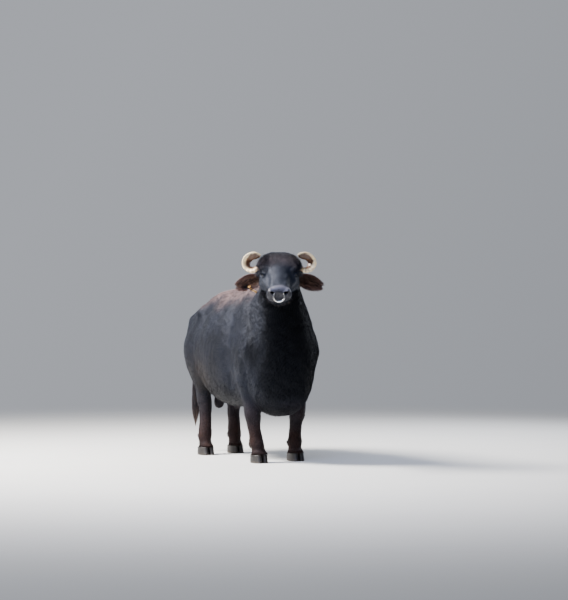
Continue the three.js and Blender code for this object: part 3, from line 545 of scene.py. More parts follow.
def near_segment(points, a, b):
    """How far each point is from the line between a and b."""
    a, b = np.asarray(a, float), np.asarray(b, float)
    line = b - a
    share = np.clip((points - a) @ line / max(line @ line, 1e-9), 0, 1)
    return np.linalg.norm(points - a - share[:, None] * line, axis=1)


def modelled(points, forms):
    """The height of ridges and hollows: each is a line from a to b, a spread and a height."""
    height = np.zeros(len(points))
    for a, b, spread, by in forms:
        reach = 2.4 * spread
        low, high = np.minimum(a, b) - reach, np.maximum(a, b) + reach
        near = np.nonzero(((points > low) & (points < high)).all(1))[0]
        far = near_segment(points[near], a, b)
        height[near] += by * np.exp(-((far / spread) ** 2))
    return height


# Where the legs run into the trunk, the flesh is one: the joins are evened out.
body = relaxed(skin, points_of(skin), np.ones(len(skin.vertices)), 4)
join = np.zeros(len(body))
for leg, (side, slices, _, _) in LEGS.items():
    middle = (215, -545, 1080) if slices is FORE else (185, 495, 1030)
    reach = (150, 230, 260) if slices is FORE else (150, 290, 240)
    gap = ((body - in_stance(leg, middle)) / reach) ** 2
    join = np.maximum(join, np.exp(-gap.sum(1) ** 2))
body = relaxed(skin, body, join, 160)
crest = np.exp(-(((body - (-10, -560, 1440)) / (150, 170, 120)) ** 2).sum(1))
body = relaxed(skin, body, crest, 200)
put_points(skin, body)

# Bones and muscles as they show through the hide, drawn on the side (y, z), from behind (x, z)
# and from above (x, y). The height of each is what a hand would feel.
ON_SIDE = [
    ((-400, 1340), (-600, 1030), 34, 8),
    ((-500, 1340), (-700, 1060), 30, -6),
    ((-290, 1310), (-385, 880), 58, -11),
    ((-425, 1010), (-405, 810), 60, 11),
    ((-690, 940), (-680, 880), 60, 10),
    ((-400, 750), (-395, 725), 34, 9),
    ((-365, 700), (-320, 600), 19, -6),
    ((400, 1218), (395, 1195), 44, 20),
    ((430, 1190), (720, 1135), 38, 7),
    ((180, 1240), (340, 1150), 62, -15),
    ((330, 1120), (305, 800), 40, 8),
    ((600, 1080), (645, 760), 34, -6),
    ((500, 1000), (540, 780), 70, 7),
    ((300, 745), (310, 720), 50, 11),
    ((150, 545), (285, 735), 28, 11),
    ((-150, 600), (240, 880), 36, 3),
] + [((62 * k - 240, 1190), (62 * k - 150, 690), 17, 1.5) for k in range(9)]
FROM_BEHIND = [
    ((0, 1080), (0, 700), 26, -15),
    ((110, 1155), (112, 1140), 38, 11),
    ((52, 1200), (60, 1110), 24, -9),
    ((125, 1060), (152, 760), 48, 8),
]
FROM_ABOVE = [
    ((0, -450), (0, 700), 17, 5),
    ((70, -340), (62, 430), 34, 4),
]
FORE_SIDE = [
    ((-505, 640), (-505, 520), 44, 6),
    ((-507, 405), (-507, 370), 34, 4),
    ((-484, 325), (-482, 195), 9, -4),
    ((-512, 325), (-512, 195), 16, 3),
    ((-500, 158), (-503, 150), 26, 4),
]
FORE_FRONT = [((212, 405), (212, 365), 34, 6), ((206, 160), (206, 150), 28, 4)]
HIND_SIDE = [
    ((560, 640), (600, 535), 19, -9),
    ((527, 370), (512, 205), 9, -4),
    ((548, 370), (535, 205), 12, 3),
    ((540, 450), (545, 430), 30, 4),
    ((500, 172), (498, 158), 26, 4),
]
HIND_BACK = [((172, 530), (172, 500), 22, 9), ((181, 655), (173, 530), 14, 6)]

SIDE_RELIEF, FACE_RELIEF, SKIN_UNEVEN = 1.2, 1.35, 0.7

normals = normals_of(skin)
x, y, z = body.T
outside = np.abs(normals[:, 0]) * smoothly(np.abs(x), 60, 150)
on_trunk = smoothly(z, 520, 600)
height = SIDE_RELIEF * modelled(np.stack([y, z], 1), ON_SIDE) * outside * on_trunk
height *= x * normals[:, 0] > 0
behind = np.maximum(normals[:, 1], 0) * smoothly(y, 420, 560) * smoothly(y, 840, 800)
height += modelled(np.stack([np.abs(x), z], 1), FROM_BEHIND) * behind * on_trunk
above = np.maximum(normals[:, 2], 0) * smoothly(z, 1150, 1250)
height += modelled(np.stack([np.abs(x), y], 1), FROM_ABOVE) * above
for leg, (side, slices, _, _) in LEGS.items():
    near = np.nonzero((z < 700) & (x * side > 40) & ((y < 0) == (slices is FORE)))[0]
    plain = body[near] - (in_stance(leg, np.stack([0 * x, 0 * y, z], 1)[near]) * (1, 1, 0))
    plain[:, 0] *= side
    across, facing = np.abs(normals[near, 0]), normals[near, 1]
    fore = slices is FORE
    height[near] += across * modelled(plain[:, 1:], FORE_SIDE if fore else HIND_SIDE)
    ahead = np.maximum(-facing if fore else facing, 0)
    height[near] += ahead * modelled(plain[:, [0, 2]], FORE_FRONT if fore else HIND_BACK)

# The brisket hangs in two masses with a shallow cleft between them, and the thick skin of the
# throat and the neck lies in folds, deepest where the neck is bent.
height += modelled(body, [((-30, -860, 1000), (-4, -790, 560), 30, -9)])
for side in (-1, 1):
    height += modelled(body, [((side * 110, -800, 760), (side * 90, -720, 560), 75, 10)])
neck_line = unit(nape - np.array([-45, -722, 1085]))
back_from_nape = (nape - body) @ neck_line
low_side = smoothly((body - nape) @ np.array([0, -0.75, -0.66]) + 0.25 * back_from_nape, -30, 150)
on_neck = smoothly(back_from_nape, 8, 40) * smoothly(back_from_nape, 470, 330)
on_neck *= smoothly(z, 800, 950) * mix(0.45, 1, smoothly(-(body - nape) @ head_side, -60, 140))
wave = 10 * np.sin(x / 47) + 7 * np.sin(z / 39 + 1)
NECK_FOLDS = ((50, 2.6), (106, 3.4), (168, 2.8), (236, 2.2))
for start, deep in NECK_FOLDS:
    gap = back_from_nape + wave - start
    fold = -deep * np.exp(-((gap / 12) ** 2)) + 0.6 * deep * np.exp(-(((gap - 27) / 19) ** 2))
    height += fold * on_neck * low_side
uneven = sum(
    np.sin(body @ direction + shift)
    for direction, shift in (
        ((0.041, 0.013, 0.022), 1.0),
        ((-0.017, 0.052, 0.031), 2.2),
        ((0.029, -0.024, 0.061), 4.1),
    )
)
height += SKIN_UNEVEN * uneven
body = body + normals * height[:, None]
put_points(skin, body)

# The head gets a finer mesh, and the eyes, the muzzle and the mouth one finer still.


def ear_share(points, side):
    """How far out along the ear each point lies, or -1 off the ear."""
    root, outward, opening, across = ear_frame(side)
    local = points - root
    t = local @ outward / EAR_LENGTH
    drop = local @ across + EAR_SAG * np.clip(t, 0, 1) ** 2
    depth = local @ opening
    beside = in_head(points)[:, 0] * side
    on_ear = (t > 0.12) & (np.abs(drop) < 75) & (np.abs(depth) < 62) & (beside > 128)
    return np.where(on_ear, t, -1)


def finer(mesh, chosen):
    """Splits the faces whose points are all chosen."""
    shape = bmesh.new()
    shape.from_mesh(mesh)
    shape.verts.ensure_lookup_table()
    picked = [e for e in shape.edges if chosen[e.verts[0].index] and chosen[e.verts[1].index]]
    bmesh.ops.subdivide_edges(shape, edges=picked, cuts=1, use_grid_fill=True, smooth=0.6)
    shape.to_mesh(mesh)
    shape.free()
    mesh.update()


local = in_head(body)
on_skull = (local[:, 1] > 0) & (local[:, 1] < 540) & (np.abs(local[:, 0]) < 200)
finer(skin, on_skull & (local[:, 2] > -200) | (ear_share(body, 1) > 0) | (ear_share(body, -1) > 0))
body = points_of(skin)
local = in_head(body)
close = (local[:, 1] > 468) & (np.abs(local[:, 0]) < 120) & (np.abs(local[:, 2]) < 120)
for side in (-1, 1):
    close |= np.linalg.norm(local - (side * EYE_SIDE, EYE_ALONG, EYE_UP), axis=1) < 48
finer(skin, close)
body = points_of(skin)
normals = normals_of(skin)
local = in_head(body)

# Bones and soft forms of the face, as lines on the head: side, along, up.
FACE = [
    ((124, 96, 30), (128, 140, 14), 34, -7),
    ((112, 160, 80), (104, 214, 78), 20, 7),
    ((120, 226, -14), (88, 330, -20), 17, 6),
    ((100, 236, -60), (80, 330, -70), 30, -5),
    ((132, 130, -100), (118, 190, -120), 44, 6),
    ((62, 300, 74), (52, 420, 66), 15, 3),
    ((84, 262, 30), (72, 360, 24), 26, -6),
    ((70, 486, 40), (64, 502, 38), 14, 6),
    ((82, 470, 8), (84, 486, -6), 18, 5),
    ((76, 400, -20), (72, 470, -14), 20, 4),
    ((96, 240, 0), (78, 372, 6), 4, 2),
    ((92, 282, -6), (84, 330, -38), 4, 1.6),
]
MIDDLE = [((0, 200, 120), (0, 420, 74), 26, 2), ((0, 500, 44), (0, 512, 0), 5, -2.5)]
folded = local * (np.where(local[:, 0] < 0, -1, 1)[:, None] ** np.array([1, 0, 0]))
on_head_skin = smoothly(local[:, 1], 20, 60)
height = (FACE_RELIEF * modelled(folded, FACE) + modelled(folded, MIDDLE)) * on_head_skin
# small wrinkles over the brows and at the corners of the mouth
brow = np.exp(-(((folded - (108, 186, 84)) / (40, 60, 34)) ** 2).sum(1))
height += brow * 1.6 * np.sin(folded[:, 2] / 2.6 + folded[:, 1] / 16)
cheek = np.exp(-(((folded - (92, 392, -36)) / (40, 34, 34)) ** 2).sum(1))
height += cheek * 1.5 * np.sin(folded[:, 1] / 3.1 + folded[:, 2] / 9)
under = np.exp(-(((folded - (60, 300, -120)) / (80, 150, 40)) ** 2).sum(1))
height += under * 2.2 * np.sin(folded[:, 1] / 8 + folded[:, 0] / 30)

# The mouth: a groove round the lips from corner to corner, with the lips full on both sides.
MOUTH_FRONT, MOUTH_CORNER, MOUTH_UP, MOUTH_FALL = 507.0, 396.0, -34.0, 16.0
back = np.clip((MOUTH_FRONT - local[:, 1]) / (MOUTH_FRONT - MOUTH_CORNER), 0, 1.1)
above = local[:, 2] - (MOUTH_UP - MOUTH_FALL * back)
open_here = smoothly(back, 1.08, 0.92) * (local[:, 1] > 380)
height -= 6.5 * np.exp(-((above / 2.6) ** 2)) * open_here
height += 2.8 * np.exp(-(((np.abs(above) - 9) / 6) ** 2)) * open_here
body = body + normals * height[:, None]
local = in_head(body)

# The nostrils: deep commas, wide below beside the nose's wall and narrowing up and outward.
NOSTRIL_AT, NOSTRIL_SLANT = (50.0, 22.0), math.radians(38)
NOSTRIL_LONG, NOSTRIL_WIDE, NOSTRIL_DEEP = 23.0, 12.5, 30.0
NOSTRIL_FRONT = 462.0


def nostril_share(local, taper):
    """How far each point of the head lies from the middle of its nostril, whose edge is at 1."""
    away, over = np.abs(local[:, 0]) - NOSTRIL_AT[0], local[:, 2] - NOSTRIL_AT[1]
    c, n = math.cos(NOSTRIL_SLANT), math.sin(NOSTRIL_SLANT)
    lengthwise = (away * c + over * n) / NOSTRIL_LONG
    crosswise = over * c - away * n + 4 * lengthwise**2
    return np.hypot(lengthwise, crosswise / NOSTRIL_WIDE / (1 - taper * np.clip(lengthwise, -1, 1)))


nostril = nostril_share(local, 0.4)
in_front = local[:, 1] > NOSTRIL_FRONT
sunk = NOSTRIL_DEEP * np.sqrt(np.maximum(1 - nostril**2, 0)) * in_front
rim = 3.2 * np.exp(-(((nostril - 1.28) / 0.24) ** 2)) * in_front
body = body - head_axis * sunk[:, None] + normals * rim[:, None]
local = in_head(body)

# The eyelids: the skin goes in behind the eyeball inside an almond, thickens along its edge and
# folds above and below it.
LID_HALF, LID_HIGH, LID_LOW = 22.0, 12.5, 11.0
lid_gap = np.full(len(body), 99.0)
for side in (-1, 1):
    offset = local - (side * EYE_SIDE, EYE_ALONG, EYE_UP)
    gaze = np.array([side * math.sin(EYE_FACING), math.cos(EYE_FACING), 0])
    level = np.array([-side * math.cos(EYE_FACING), math.sin(EYE_FACING), 0])
    out, flat, rise = offset @ gaze, offset @ level, offset[:, 2] + 0.12 * offset @ level
    limit = np.where(rise > 0, LID_HIGH, LID_LOW) * np.maximum(1 - (flat / LID_HALF) ** 2, 0)
    beside = np.hypot(np.abs(flat) - LID_HALF, rise)
    gap = np.where(np.abs(flat) < LID_HALF, np.abs(rise) - limit, beside)
    here = (out > 0) & (np.abs(flat) < 60) & (np.abs(rise) < 60)
    lid_gap = np.where(here, gap, lid_gap)
    into = smoothly(-gap, -0.5, 3.0) * here
    move = into * np.minimum(4 - out, 0)
    edge = 2.4 * np.exp(-(((gap - 2.4) / 2.2) ** 2))
    crease = -2.6 * np.exp(-(((gap - 10.5) / 2.0) ** 2)) * smoothly(rise, -4, 4)
    crease += 1.2 * np.exp(-(((gap - 15) / 3) ** 2)) * smoothly(rise, -4, 4)
    crease -= 1.6 * np.exp(-(((gap - 8.5) / 1.8) ** 2)) * smoothly(-rise, -2, 5)
    body = body + (gaze @ HEAD_FRAME) * move[:, None] + normals * ((edge + crease) * here)[:, None]

# The skin lies inside the coat by the coat's depth, and the ears are thinned to their real wall.
flaps = np.maximum(ear_share(body, 1), ear_share(body, -1)) > 0.1
body = relaxed(skin, body, flaps * 0.9, 5)
COAT_DEPTH = 3.0
inset = COAT_DEPTH * mix(1, 0.5, smoothly(in_head(body)[:, 1], 60, 200))
for side in (-1, 1):
    inset = np.maximum(inset, (EAR_SPARE + 0.8) * smoothly(ear_share(body, side), 0.12, 0.3))
inset *= smoothly(lid_gap, 3, 12) * mix(1, 0.2, (nostril < 1.2) & (local[:, 1] > NOSTRIL_FRONT))
inset *= smoothly(body[:, 2], CORONET - 2, CORONET + 8)
body = body - normals * inset[:, None]
put_points(skin, body)
skin.polygons.foreach_set("use_smooth", np.ones(len(skin.polygons), bool))
skin.update()

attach(hide, "root")
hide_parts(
    "torso", "neck", "head", "tail", "scrotum", "ear_left", "ear_right",
    *[f"leg_{leg}" for leg in LEGS],
)


# How the hide is coloured: black to slate grey hair over dark skin, sandy along the back with dust
# and with painted sunlight on its upward faces, browner low on the flanks, rusty on the legs,
# darkened by painted shade on the chest front and underneath, and bare and wet on the muzzle, with
# a painted highlight on its top and painted shade in the nostrils. The same markings are read by
# the skin and by every lock of the coat.
MARKS = ("dust_and_painted_sunlight", "brown", "rust", "dark", "bare", "ears", "limb", "face")


def markings(points, normals):
    """How much of each marking the hide has at these points, from 0 to 1."""
    x, y, z = points.T
    local = in_head(points)
    wide, along, high = np.abs(local[:, 0]), local[:, 1], local[:, 2]
    on_face = smoothly(along, 20, 90) * smoothly(high, -190, -150)
    body_only = 1 - on_face
    wander = 0.5 + 0.28 * np.sin(y / 97 + x / 61) + 0.22 * np.sin(y / 41 - z / 53 + 2)
    # painted sunlight: the upward faces along the back are made sandy, over the real dust there; the poll's
    # sandy tint is dust
    on_back = smoothly(normals[:, 2], 0.28, 0.82) * smoothly(z + 110 * wander, 1240, 1450)
    on_back *= smoothly(y, -610, -380) * mix(0.9, 0.4, smoothly(y, 300, 700)) * body_only
    on_poll = 0.2 * on_face * smoothly(along, 250, 90) * smoothly(high, 50, 100)
    flank = np.exp(-(((y - 210) / 330) ** 2) - ((z - 640) / 210) ** 2)
    # painted shade: the chest front and the downward faces under the trunk and neck are darkened, and the
    # nostrils made black
    front = smoothly(-normals[:, 1], 0.1, 0.7) * smoothly(y, -560, -680) * body_only
    below = smoothly(-normals[:, 2], 0.2, 0.8) * smoothly(z, 1250, 1000) * 0.7
    in_nostrils = smoothly(nostril_share(local, 0), 1.1, 0.75) * (along > 440)
    nose = smoothly(along + 0.25 * (high - 20) - 0.12 * wide, 452, 480)
    marks = (
        np.maximum(on_back, on_poll),
        flank * mix(0.6, 1.1, wander) * smoothly(np.abs(x), 40, 140),
        smoothly(z + 60 * wander, 620, 190),
        np.maximum(np.maximum(front * smoothly(z, 420, 560), below), in_nostrils),
        nose * smoothly(wide, 100, 84) * smoothly(high, -76, -60),
        smoothly(np.maximum(ear_share(points, 1), ear_share(points, -1)), 0.1, 0.3),
        smoothly(z, 720, 560) * body_only,
        on_face,
    )
    return {name: np.clip(value, 0, 1) for name, value in zip(MARKS, marks)}


def give_marks(mesh, marks):
    for name, values in marks.items():
        layer = mesh.attributes.new(name, "FLOAT", "POINT")
        layer.data.foreach_set("value", np.asarray(values, np.float32))


def linear(code):
    """An sRGB hex colour as the linear colour that a shader takes."""
    channels = [int(code[i : i + 2], 16) / 255 for i in (1, 3, 5)]
    curved = [c / 12.92 if c <= 0.04045 else ((c + 0.055) / 1.055) ** 2.4 for c in channels]
    return (*curved, 1.0)


def add(tree, kind, inputs=(), out=0, **settings):
    """Adds a shader node, sets or links its inputs, and gives the output that is asked for."""
    node = tree.nodes.new("ShaderNode" + kind)
    for name, value in settings.items():
        setattr(node, name, value)
    for name, value in dict(inputs).items():
        if isinstance(value, bpy.types.NodeSocket):
            tree.links.new(value, node.inputs[name])
        else:
            node.inputs[name].default_value = value
    return node.outputs[out] if node.outputs else node


def new_finish(name):
    """An empty material and its nodes."""
    finish = bpy.data.materials.new(name)
    finish.use_nodes = True
    finish.node_tree.nodes.clear()
    return finish, finish.node_tree


# Real hairs are 0.1 mm thick and too fine to show, so they are drawn as clumps 3 mm across and
# 45 mm long. The tone drifts over 180 mm and is mottled over 40 mm, and the muzzle's skin is
# cobbled 5 mm apart.
HAIR_CLUMP, HAIR_RUN = 0.003, 0.045
DRIFTS, MOTTLES, COBBLES = 5.5, 26.0, 190.0
TRUNK_LIE, LEG_LIE, FACE_LIE = (-0.55, 0, 0), (1.5, 0, 0), (-0.45, 0, -HEAD_TURN)
KERATIN_IOR = 1.55


def hide_finish(name, in_locks):
    """Buffalo hide, grown with stiff glossy hair over black skin. It is so dark that the eye
    sees mostly its shine: slate blue where it turns to the sky, dull where dust or mud lies.
    Painted sunlight makes the back sandy, and painted shade darkens the chest front and the
    underside."""
    finish, tree = new_finish(name)
    place = add(tree, "TexCoord", out="Object")
    mark = {key: add(tree, "Attribute", out="Fac", attribute_name=key) for key in MARKS}
    runs = []
    for turned in (TRUNK_LIE, LEG_LIE, FACE_LIE):
        size = {"Rotation": turned, "Scale": (HAIR_CLUMP, HAIR_RUN, HAIR_CLUMP)}
        lie = add(tree, "Mapping", {"Vector": place, **size}, vector_type="TEXTURE")
        hairs = {"Vector": lie, "Scale": 1.0, "Detail": 3.0, "Roughness": 0.6}
        runs.append(add(tree, "TexNoise", hairs))
    streak = add(tree, "Mix", {0: mark["limb"], 2: runs[0], 3: runs[1]})
    streak = add(tree, "Mix", {0: mark["face"], 2: streak, 3: runs[2]})
    broad = {"Vector": place, "Scale": DRIFTS, "Detail": 4.0, "Roughness": 0.55}
    broad = add(tree, "TexNoise", broad)
    patch = {"Vector": place, "Scale": MOTTLES, "Detail": 5.0, "Roughness": 0.6}
    patch = add(tree, "TexNoise", patch)

    # the markings lie over one another, some with their edges broken up by a texture
    tone = add(tree, "MapRange", {0: broad, 1: 0.36, 2: 0.64})
    black = {0: tone, 6: linear("#0a0c12"), 7: linear("#13161f")}
    colour = add(tree, "Mix", black, 2, data_type="RGBA")
    for key, code, most, texture, start, end in (
        ("brown", "#272019", 1.0, patch, 0.38, 0.6),
        ("rust", "#33241e", 1.0, broad, 0.3, 0.7),
        ("ears", "#3a201c", 1.0, None, 0, 0),
        ("face", "#20252f", 0.75, None, 0, 0),
        # the dark mark: painted shade on the chest front, the underside and in the nostrils, and the
        # lashes' own black
        ("dark", "#050608", 1.0, None, 0, 0),
        # the sandy mark: real dust, and painted sunlight on the back's upward faces
        ("dust_and_painted_sunlight", "#6b5957", 1.0, patch, 0.34, 0.56),
    ):
        amount = most
        if texture:
            amount = add(tree, "MapRange", {0: texture, 1: start, 2: end, 3: 0.35})
        amount = add(tree, "Math", {0: mark[key], 1: amount}, operation="MULTIPLY")
        over = {0: amount, 6: colour, 7: linear(code)}
        colour = add(tree, "Mix", over, 2, data_type="RGBA")
    shade = add(tree, "MapRange", {0: streak, 1: 0.3, 2: 0.72, 3: 0.45, 4: 1.2})
    if in_locks:
        # old hair is bleached towards its tip, and each lock has its own tone
        tint, end, pale = (
            add(tree, "Attribute", out="Fac", attribute_name=key) for key in ("tint", "tip", "pale")
        )
        sunned = add(tree, "MapRange", {0: end, 1: 0.3, 2: 0.95, 3: 0.12})
        pale = add(tree, "Math", {0: pale, 1: sunned}, operation="MULTIPLY")
        over = {0: pale, 6: colour, 7: linear("#77604e")}
        colour = add(tree, "Mix", over, 2, data_type="RGBA")
        shade = add(tree, "MapRange", {0: tint, 3: 0.7, 4: 1.7})
        bleached = add(tree, "MapRange", {0: end, 1: 0.2, 3: 0.85, 4: 1.3})
        shade = add(tree, "Math", {0: shade, 1: bleached}, operation="MULTIPLY")
    mottled = add(tree, "MapRange", {0: patch, 1: 0.34, 2: 0.66, 3: 0.8, 4: 1.2})
    shade = add(tree, "Math", {0: shade, 1: mottled}, operation="MULTIPLY")
    colour = add(tree, "VectorMath", {0: colour, 3: shade}, operation="SCALE")

    # the muzzle is bare skin, dark, with a painted highlight that makes its upward faces paler, and painted
    # shade that makes the nostrils black
    turned = {0: add(tree, "NewGeometry", out="Normal"), 1: (0, -0.3, 1.0)}
    faces_up = add(tree, "VectorMath", turned, "Value", operation="DOT_PRODUCT")
    painted_highlight = add(tree, "MapRange", {0: faces_up, 2: 0.9})
    dark_to_painted_highlight = {0: painted_highlight, 6: linear("#131318"), 7: linear("#54545f")}
    muzzle = add(tree, "Mix", dark_to_painted_highlight, 2, data_type="RGBA")
    painted_nostril_shade = add(tree, "Math", {0: mark["bare"], 1: mark["dark"]}, operation="MULTIPLY")
    for amount, above in ((mark["bare"], muzzle), (painted_nostril_shade, linear("#020202"))):
        colour = add(tree, "Mix", {0: amount, 6: colour, 7: above}, 2, data_type="RGBA")

    rough = add(tree, "MapRange", {0: streak, 1: 0.3, 2: 0.7, 3: 0.62, 4: 0.46})
    for amount, level in ((mark["dust_and_painted_sunlight"], 0.75), (mark["bare"], 0.33)):
        rough = add(tree, "Mix", {0: amount, 2: rough, 3: level})
    gloss = add(tree, "MapRange", {0: mark["dark"], 3: 0.3 if in_locks else 0.2, 4: 0.1})
    warm = add(tree, "Math", {0: mark["brown"], 1: mark["rust"]}, operation="MAXIMUM")
    for amount, level in ((warm, 0.1), (mark["face"], 0.34), (mark["bare"], 0.42), (painted_nostril_shade, 0.02)):
        gloss = add(tree, "Mix", {0: amount, 2: gloss, 3: level})
    sky_tint = {0: mark["bare"], 6: linear("#c3cce6"), 7: linear("#e6e8f4")}
    skin_look = {
        "Base Color": colour, "Roughness": rough, "IOR": KERATIN_IOR, "Specular IOR Level": gloss,
        "Specular Tint": add(tree, "Mix", sky_tint, 2, data_type="RGBA"),
        "Sheen Weight": 0.01, "Sheen Roughness": 0.35, "Sheen Tint": linear("#aab8de"),
    }
    if not in_locks:
        cobbles = add(tree, "TexVoronoi", {"Vector": place, "Scale": COBBLES}, "Distance")
        cobbled = add(tree, "Math", {0: cobbles, 1: mark["bare"]}, operation="MULTIPLY")
        crease = {"Height": cobbled, "Strength": 0.6, "Distance": 0.0022}
        crease = add(tree, "Bump", crease, invert=True)
        haired = add(tree, "Mix", {0: mark["bare"], 2: streak, 3: 0.5})
        lying = {"Height": haired, "Strength": 0.75, "Distance": 0.004, "Normal": crease}
        skin_look["Normal"] = add(tree, "Bump", lying)
    add(tree, "OutputMaterial", {"Surface": add(tree, "BsdfPrincipled", skin_look)})
    return finish


give_marks(skin, markings(body, normals_of(skin)))
skin.materials.clear()
skin.materials.append(hide_finish("buffalo_hide", False))

# The eyes: glass eyes as a taxidermist sets them, deep behind the lids. The iris is so dark a
# brown that the wide pupil hardly shows, and the clear front stands up over it.
PUPIL_HALF, PUPIL_HIGH = 0.34, 0.2
IRIS_EDGE, BULGE = 1.1, 0.055

# Painted glass under a clear dome: near black with a thin brown ring, and one small sharp glint.
eye_glass, tree = new_finish("dark_brown_eye_glass")
turned_off, flat_share, fibres = (
    add(tree, "Attribute", out="Fac", attribute_name=key) for key in ("off_gaze", "pupil", "fibre")
)
rings = add(tree, "ValToRGB", {"Fac": turned_off})
ramp = rings.node.color_ramp
ramp.elements[0].color = linear("#1e110b")
ramp.elements[1].position, ramp.elements[1].color = 0.95, linear("#1c1412")
for at, code in ((0.30, "#251509"), (0.52, "#170d09"), (0.60, "#0c0808"), (0.7, "#140d0b")):
    ramp.elements.new(at).color = linear(code)
spoke = add(tree, "MapRange", {0: fibres, 3: 0.7, 4: 1.3})
iris = add(tree, "VectorMath", {0: rings, 3: spoke}, operation="SCALE")
painted = {0: flat_share, 6: iris, 7: linear("#040405")}
eye_look = {
    "Base Color": add(tree, "Mix", painted, 2, data_type="RGBA"),
    "Roughness": 0.12, "IOR": 1.5, "Specular IOR Level": 0.2,
    "Coat IOR": 1.38, "Coat Weight": 1.0, "Coat Roughness": 0.02,
}
add(tree, "OutputMaterial", {"Surface": add(tree, "BsdfPrincipled", eye_look)})

for name, side in (("eye_right", -1), ("eye_left", 1)):
    gaze = side * math.sin(EYE_FACING) * head_side + math.cos(EYE_FACING) * head_axis
    over = unit(head_up - gaze * (head_up @ gaze))
    level = np.cross(over, gaze)
    off = np.concatenate([np.linspace(0.015, 1.1, 34), np.linspace(1.16, np.pi - 0.02, 22)])
    angle = turns(72)[None, :, None]
    radius = EYE_RADIUS * (1 + BULGE * smoothly(off, 0.62, 0.3))[:, None, None]
    off = off[:, None, None]
    around = np.cos(angle) * level + np.sin(angle) * over
    rings = eye_middle(side) + radius * np.sin(off) * around + radius * np.cos(off) * gaze
    points, faces = lofted(rings)
    eye = new_piece(name, points, faces, eye_glass)
    seen = unit(points - eye_middle(side))
    from_gaze = np.arccos(np.clip(seen @ gaze, -1, 1))
    wide, high = seen @ level, seen @ over
    turn = np.arctan2(high, wide)
    in_pupil = smoothly(np.hypot(wide / PUPIL_HALF, high / PUPIL_HIGH), 1.05, 0.92)
    fibre = 0.5 + 0.3 * np.sin(turn * 46) + 0.2 * np.sin(turn * 19 + 1)
    give_marks(
        eye.data,
        {"off_gaze": from_gaze / IRIS_EDGE, "pupil": in_pupil * (from_gaze < 1.2), "fibre": fibre},
    )
    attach(eye, "root")
    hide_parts(name)

# The horns: the species' horns, short on this bull, which leave the head low, swing out and
# round, and end in blunt tips over the poll. They are natural horn, ringed with growth ridges at
# the foot and rubbed smooth towards the tip. Their forward and outer faces are painted cream as
# sunlight, and the inside of the curl is brown as painted shade over the horn's own darker tone.
HORN_SIDE, HORN_Z, HORN_FORWARD = 212.0, 1592.0, 52.0
HORN_OUTER, HORN_UNCURL = 79.0, 14.0
HORN_THICK, HORN_BROAD = 22.0, 50.0
HORN_FROM, HORN_TO = math.radians(-126), math.radians(146)
HORN_TIP_THICK, HORN_TIP_BROAD = 5.0, 11.0
HORN_LEAN = (8.0, 46.0, 58.0)
HORN_DIP, RIDGES_END = 34.0, 0.62
HORN_BURIED = (56, 40, 26, 12)


def growth_phase(t, angle):
    """Where each point lies in the growth ridges, which crowd at the foot."""
    return 62 * np.power(t, 0.8) + 0.35 * np.sin(angle + 1) + 0.12 * np.sin(5 * angle)


def horn_surface(side, t, angle):
    """Points of a horn at shares t of its length and angles round it, and how pale each is, as
    painted sunlight where it faces forward and out of the curl and painted shade inside it.
    """
    turn = mix(HORN_FROM, HORN_TO, t)
    phase = growth_phase(t, angle)
    ridges = smoothly(t, RIDGES_END, 0.05) * (0.035 * np.sin(phase) + 0.016 * np.sin(2.7 * phase + 1))
    ridges = ridges * (1 - 0.85 * smoothly(-np.cos(angle), 0.1, 0.8))
    blunt = np.sqrt(np.clip(1 - smoothly(t, 0.965, 1.0) * 0.97, 0, 1))
    swell = (1 + ridges) * (1 + 0.03 * np.cos(2 * angle + 0.5)) * blunt
    full_thick = mix(HORN_TIP_THICK, HORN_THICK, (1 - t) ** 0.6)
    full_broad = mix(HORN_TIP_BROAD, HORN_BROAD, (1 - t) ** 0.14)
    thick, broad = full_thick * swell, full_broad * swell
    flare = mix(HORN_LEAN[0], HORN_LEAN[1], smoothly(t, 0, 0.4))
    flare = np.radians(mix(flare, HORN_LEAN[2], smoothly(t, 0.45, 0.8)))
    reach = np.hypot(full_thick * np.cos(flare), full_broad * np.sin(flare))
    radius = HORN_OUTER + HORN_UNCURL * smoothly(t, 0.68, 1) - reach
    past = (1.2 * t - 1 + np.sqrt((1.2 * t - 1) ** 2 + 0.01)) / 2
    dip = -HORN_DIP * np.sin((1.2 * t - past) * np.pi)
    turn, flare, radius, dip = (value[..., None] for value in (turn, flare, radius, dip))
    radial = head_side * side * np.cos(turn) + np.array([0, 0, 1.0]) * np.sin(turn)
    across = head_forward * np.cos(flare) + radial * np.sin(flare)
    through_it = radial * np.cos(flare) - head_forward * np.sin(flare)
    middle = np.array([POLL[0], POLL[1], HORN_Z]) + head_side * side * HORN_SIDE
    middle = middle + head_forward * (HORN_FORWARD + dip) + radial * radius
    inner = 1 - 0.16 * smoothly(-np.cos(angle), 0, 1)
    c, n = np.cos(angle), np.sin(angle)
    away = across * (broad * inner * c)[..., None] + through_it * (thick * n)[..., None]
    facing = unit(across * (c / broad)[..., None] + through_it * (n / thick)[..., None])
    # painted light: pale is high on faces turned forward and out of the curl, as painted sunlight, and low
    # on the inner faces and under the top of the curl, as painted shade
    pale = 0.75 * c + 0.6 * (facing * radial).sum(-1)
    return middle + away, pale - 0.3 * smoothly(t, 0.45, 0.8)


